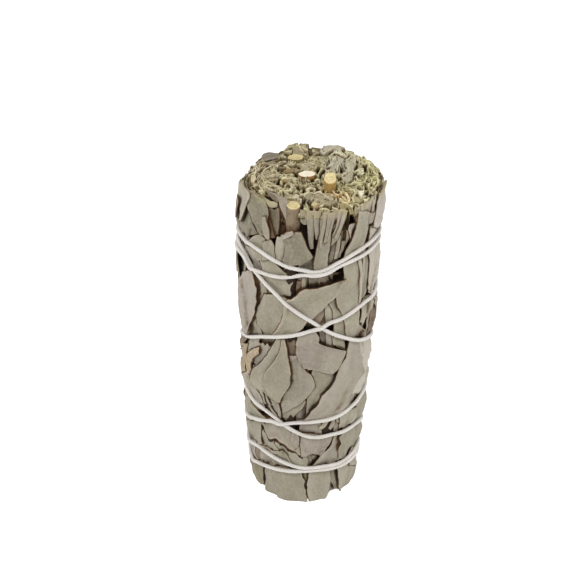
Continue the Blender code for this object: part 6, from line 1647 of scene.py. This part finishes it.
def make_stem(name, x, y, r, top, back, right, bark, cut_kind):
    rings = 36
    seed = len(name) * 7
    turn = np.linspace(0, 2 * math.pi, rings, endpoint=False)
    flat = 0.55 if name == "stem_petiole" else 1.0
    kind_value = {"cream": 1.0, "light": 0.62, "yellow": 0.5, "straw": 0.38, "pale": 0.3, "brown": 0.0}[cut_kind]
    drops = [0.0, 0.06, 0.2, 0.5, 0.9, 1.4, 2.0, 2.8, 3.8, 5.0, 6.5, 8.5, 12.0]
    points, values = [], {"cut": [], "ring": [], "deep": []}
    faces = []

    def ring_at(size, z, tilt, kind, share_out, depth):
        share = 1 + (float(inner_radius(min(z, TOP))) / float(inner_radius(TOP)) - 1) * float(step_up(np.array(TOP - z), 3.0, 12.0))
        wob = 1 + 0.13 * noise(np.cos(turn) * 1.1 + seed, np.sin(turn) * 1.1, 0.0, 31) + 0.06 * noise(np.cos(turn) * 3 + seed, np.sin(turn) * 3, z / 4.0, 32)
        px, py = size * wob * np.cos(turn), size * wob * np.sin(turn) * flat
        rise = (back * py + right * px) * tilt
        rough = (0.10 * noise(px * 1.7, py * 1.7, seed, 33) + 0.06 * noise(px * 5, py * 5, seed, 34)) * (kind > 0.5)
        points.append(np.stack([(x * share + px + axis_x(z) + CENTRE_X) * MM, (y * share + py + CENTRE_Y) * MM, (z + rise + rough) * MM], axis=-1))
        for key, value in (("cut", kind), ("ring", share_out), ("deep", depth)):
            values[key].append(np.full(rings, value))

    for part in (0.1, 0.25, 0.4, 0.55, 0.7, 0.83, 0.94):
        ring_at(r * part, top, 1.0, 1.0, part, 0.0)
    # Painted shade: the stem darkens below the cut face, the front stem only further down, past its knob, and the rings
    # lower down are painted dark
    for k, drop in enumerate(drops):
        z = top - drop
        depth = float(step_up(np.array(TOP + 0.2 - z), 0.0, 1.2)) if name != "stem_front" else 0.15 + 0.85 * float(step_up(np.array(drop), 5.5, 8.5))
        knob = 0.0
        if name == "stem_front":
            knob = 0.10 * math.exp(-((drop - 5.2) / 1.0) ** 2) - 0.05 * math.exp(-((drop - 2.5) / 1.2) ** 2)
        ring_at(r * ((0.97 if k == 0 else 1.0) + knob), z, 1.0 if drop < 2 else max(0.0, 1 - (drop - 2) / 3), 1.0 if k == 0 else 0.0, 1.0, 0.05 if k == 0 else depth)
    for z in (74.0, 56.0, 38.0, 22.0, 8.0, 0.3):
        share = float(inner_radius(z) / inner_radius(100.0))
        ring_at(r * 0.95 * share, z, 0.0, 0.0, 1.0, 0.9)
    count = len(points)
    for k in range(count - 1):
        for j in range(rings):
            a, b = k * rings + j, k * rings + (j + 1) % rings
            faces.append((a, b, b + rings, a + rings))
    flat_points = np.concatenate(points)
    flat_points = np.concatenate([flat_points, [flat_points[:rings].mean(axis=0)], [flat_points[-rings:].mean(axis=0)]])
    for j in range(rings):
        faces.append((len(flat_points) - 2, (j + 1) % rings, j))
        base = (count - 1) * rings
        faces.append((len(flat_points) - 1, base + j, base + (j + 1) % rings))
    obj = new_piece(name + "_cut", flat_points, faces, BARK[bark], "stem", (name,), crisp=0)
    outward(obj)
    for key, lists in values.items():
        ends = {"cut": (1.0, 0.0), "ring": (0.0, 1.0), "deep": (0.0, 0.6)}[key]
        set_values(obj.data, key, np.concatenate([np.concatenate(lists), ends]))
    set_values(obj.data, "kind", np.full(len(flat_points), kind_value))
    obj.data.set_sharp_from_angle(angle=math.radians(50))


for stem in STEMS:
    make_stem(*stem)


# ------------------------------------------------------------------------------------------- string
def string_material():
    material, tree, shader = node_material("cotton_string")
    n = Nodes(tree)
    place = n.place()
    fibres = n.noise(n.vector("strand"), 1.0, 3.0, 0.6)
    dust = n.noise(place, 160.0, 3.0)
    colour = n.mix(fibres, srgb(200, 195, 188), srgb(229, 225, 220))
    # painted shade in the grooves between the strands
    colour = n.mix(n.math("MULTIPLY", n.number("groove_shade"), 0.4), colour, srgb(160, 152, 140))
    colour = n.mix(n.math("MULTIPLY", n.span(dust, 0.5, 0.75), 0.35), colour, srgb(190, 182, 166))
    n.link(colour, shader.inputs["Base Color"])
    n.link(n.span(fibres, 0.2, 0.8, 0.8, 0.95), shader.inputs["Roughness"])
    shader.inputs["Specular IOR Level"].default_value = 0.2
    shader.inputs["Sheen Weight"].default_value = 0.15
    shader.inputs["Sheen Roughness"].default_value = 0.4
    n.link(n.bump(fibres, 0.6, 0.00012), shader.inputs["Normal"])
    return material


def outermost(angle, z, guess):
    """Radius of the outermost leaf surface that the string meets at each of its points, in mm."""
    points, faces, start = [], [], 0
    for mesh in leaf_meshes:
        co = np.empty(len(mesh.vertices) * 3)
        mesh.vertices.foreach_get("co", co)
        points.append(co.reshape(-1, 3) * 1000)
        faces += [[v + start for v in p.vertices] for p in mesh.polygons]
        start += len(mesh.vertices)
    tree = BVHTree.FromPolygons(np.concatenate(points).tolist(), faces)
    found = guess.copy()
    for shift in (-0.5, 0.0, 0.5):
        begin = world(angle, z + shift, guess + 5.0) * 1000
        for i, (a, place) in enumerate(zip(angle, begin)):
            hit = tree.ray_cast(place.tolist(), (-math.sin(a), math.cos(a), 0.0), 6.5)
            if hit[0] is not None:
                found[i] = max(found[i], min(guess[i] + 5.0 - hit[3], guess[i] + 2.2))
    return found


need = finished.highest(string_angle, string_z, 1)
need = outermost(string_angle, string_z, need)
taut = need.copy()
window = np.hanning(21)[1:-1] / np.hanning(21)[1:-1].sum()
for _ in range(6):
    soft = np.convolve(np.pad(taut, 9, mode="edge"), window, mode="valid")
    taut = np.maximum(soft, need - 0.15)
taut = np.convolve(np.pad(taut, 3, mode="edge"), np.ones(7) / 7, mode="valid")
taut = np.maximum(taut, need - 0.25)
string_r = taut + STRING_RADIUS * 0.72
per_turn = int(2 * math.pi / (string_turn[1] - string_turn[0]))
flat_spot = np.c_[(string_angle % (2 * math.pi)) * SPAN, string_z]
lap = 2 * math.pi * SPAN
for i in range(per_turn // 2, string_count):
    # a later turn climbs over an earlier one
    stop = i - per_turn // 3
    beside = np.abs(flat_spot[:stop, 0] - flat_spot[i, 0])
    gap = np.hypot(np.minimum(beside, lap - beside), flat_spot[:stop, 1] - flat_spot[i, 1])
    close = gap < 2 * STRING_RADIUS
    if close.any():
        want = string_r[:stop][close] + 2 * STRING_RADIUS * 0.93 * np.sqrt(np.clip(1 - (gap[close] / (2 * STRING_RADIUS)) ** 2, 0, 1))
        string_r[i] = max(string_r[i], float(want.max()))
for _ in range(2):
    soft = np.convolve(np.pad(string_r, 3, mode="edge"), np.ones(7) / 7, mode="valid")
    string_r = np.maximum(string_r - 0.02, soft)

centre = world(string_angle, string_z, string_r) * 1000
tangent = np.gradient(centre, axis=0)
tangent /= np.linalg.norm(tangent, axis=1)[:, None]
out = np.c_[np.sin(string_angle), -np.cos(string_angle), 0 * string_angle]
across = np.cross(tangent, out)
across /= np.linalg.norm(across, axis=1)[:, None]
out = np.cross(across, tangent)
distance = np.r_[0.0, np.cumsum(np.linalg.norm(np.diff(centre, axis=0), axis=1))]
print("string length", round(float(distance[-1])), "mm")

SIDES = 15
LAY_LENGTH = 3.3
phi = np.linspace(0, 2 * math.pi, SIDES, endpoint=False)
twist = 2 * math.pi * distance / LAY_LENGTH
lobe = np.abs(np.cos(1.5 * (phi[None, :] - twist[:, None])))
size = STRING_RADIUS * (0.74 + 0.30 * lobe**0.7) * (1 + 0.05 * noise(distance / 2.1, 1.0, 0, 41)[:, None])
size *= 1 + 0.05 * noise(distance[:, None] / 0.7, np.cos(phi)[None, :] * 2, np.sin(phi)[None, :] * 2, 42)
ring_points = centre[:, None, :] + size[..., None] * (np.cos(phi)[None, :, None] * out[:, None, :] + np.sin(phi)[None, :, None] * across[:, None, :])
i, j = np.meshgrid(np.arange(string_count - 1), np.arange(SIDES), indexing="ij")
a = (i * SIDES + j).ravel()
b = (i * SIDES + (j + 1) % SIDES).ravel()
faces = [tuple(f) for f in np.c_[a, b, b + SIDES, a + SIDES]]
faces.append(tuple(range(SIDES - 1, -1, -1)))
faces.append(tuple(range((string_count - 1) * SIDES, string_count * SIDES)))
string_look = string_material()
cord = new_piece("binding_string", ring_points.reshape(-1, 3) * MM, faces, string_look, "string", ("string",), crisp=0)
outward(cord)
set_values(cord.data, "groove_shade", 1 - lobe**0.6)
strand = np.stack([distance[:, None] * 1.2 + 0 * phi[None, :], 7 * (phi[None, :] - twist[:, None]) / 2.0, 0 * lobe], axis=-1)
set_vectors(cord.data, "strand", strand)

# ------------------------------------------------------------------------------- floor, light, camera
floor = bpy.data.meshes.new("floor")
floor.from_pydata([(-3, -3, 0), (3, -3, 0), (3, 3, 0), (-3, 3, 0)], [], [(0, 1, 2, 3)])
floor_obj = bpy.data.objects.new("floor", floor)
bpy.context.scene.collection.objects.link(floor_obj)
floor_look, floor_tree, floor_shader = node_material("pale_floor")
floor_shader.inputs["Base Color"].default_value = (0.5, 0.5, 0.5, 1.0)
floor_shader.inputs["Roughness"].default_value = 1.0
floor_shader.inputs["Specular IOR Level"].default_value = 0.0
floor_shader.inputs["Emission Color"].default_value = (1.0, 1.0, 1.0, 1.0)
floor_shader.inputs["Emission Strength"].default_value = 0.85
floor.materials.append(floor_look)

sky = bpy.data.worlds.new("studio")
bpy.context.scene.world = sky
sky.use_nodes = True
sky.node_tree.nodes["Background"].inputs["Color"].default_value = (1.0, 1.0, 1.0, 1.0)
sky.node_tree.nodes["Background"].inputs["Strength"].default_value = 0.45


def softbox(name, place, size, power):
    light = bpy.data.lights.new(name, "AREA")
    light.shape = "DISK"
    light.size = size
    light.energy = power
    obj = bpy.data.objects.new(name, light)
    bpy.context.scene.collection.objects.link(obj)
    obj.location = place
    way = np.array((0, 0, 0.05)) - np.array(place)
    way = way / np.linalg.norm(way)
    obj.rotation_euler = (math.acos(-way[2]), 0.0, math.atan2(way[1], way[0]) - math.pi / 2)


softbox("key", (-0.12, -0.5, 0.75), 0.3, 3.7)
softbox("right_side", (0.62, 0.0, 0.32), 0.6, 1.6)
softbox("left_side", (-0.62, 0.05, 0.32), 0.6, 1.0)

camera = bpy.data.cameras.new("camera")
camera.sensor_width = 36.0
camera.sensor_fit = "HORIZONTAL"
camera.lens = VIEW_ZOOM / 576 * 36.0
camera.clip_start = 0.01
camera.clip_end = 20
camera_obj = bpy.data.objects.new("camera", camera)
bpy.context.scene.collection.objects.link(camera_obj)
camera_obj.location = ((VIEW_RIGHT + CENTRE_X) * MM, (-VIEW_BACK + CENTRE_Y) * MM, VIEW_UP * MM)
camera_obj.rotation_euler = (math.pi / 2 - VIEW_SLOPE, 0.0, 0.0)
bpy.context.scene.camera = camera_obj
bpy.context.scene.view_settings.view_transform = "Standard"

print("triangles", triangles, sum(triangles.values()))
bpy.context.view_layer.update()
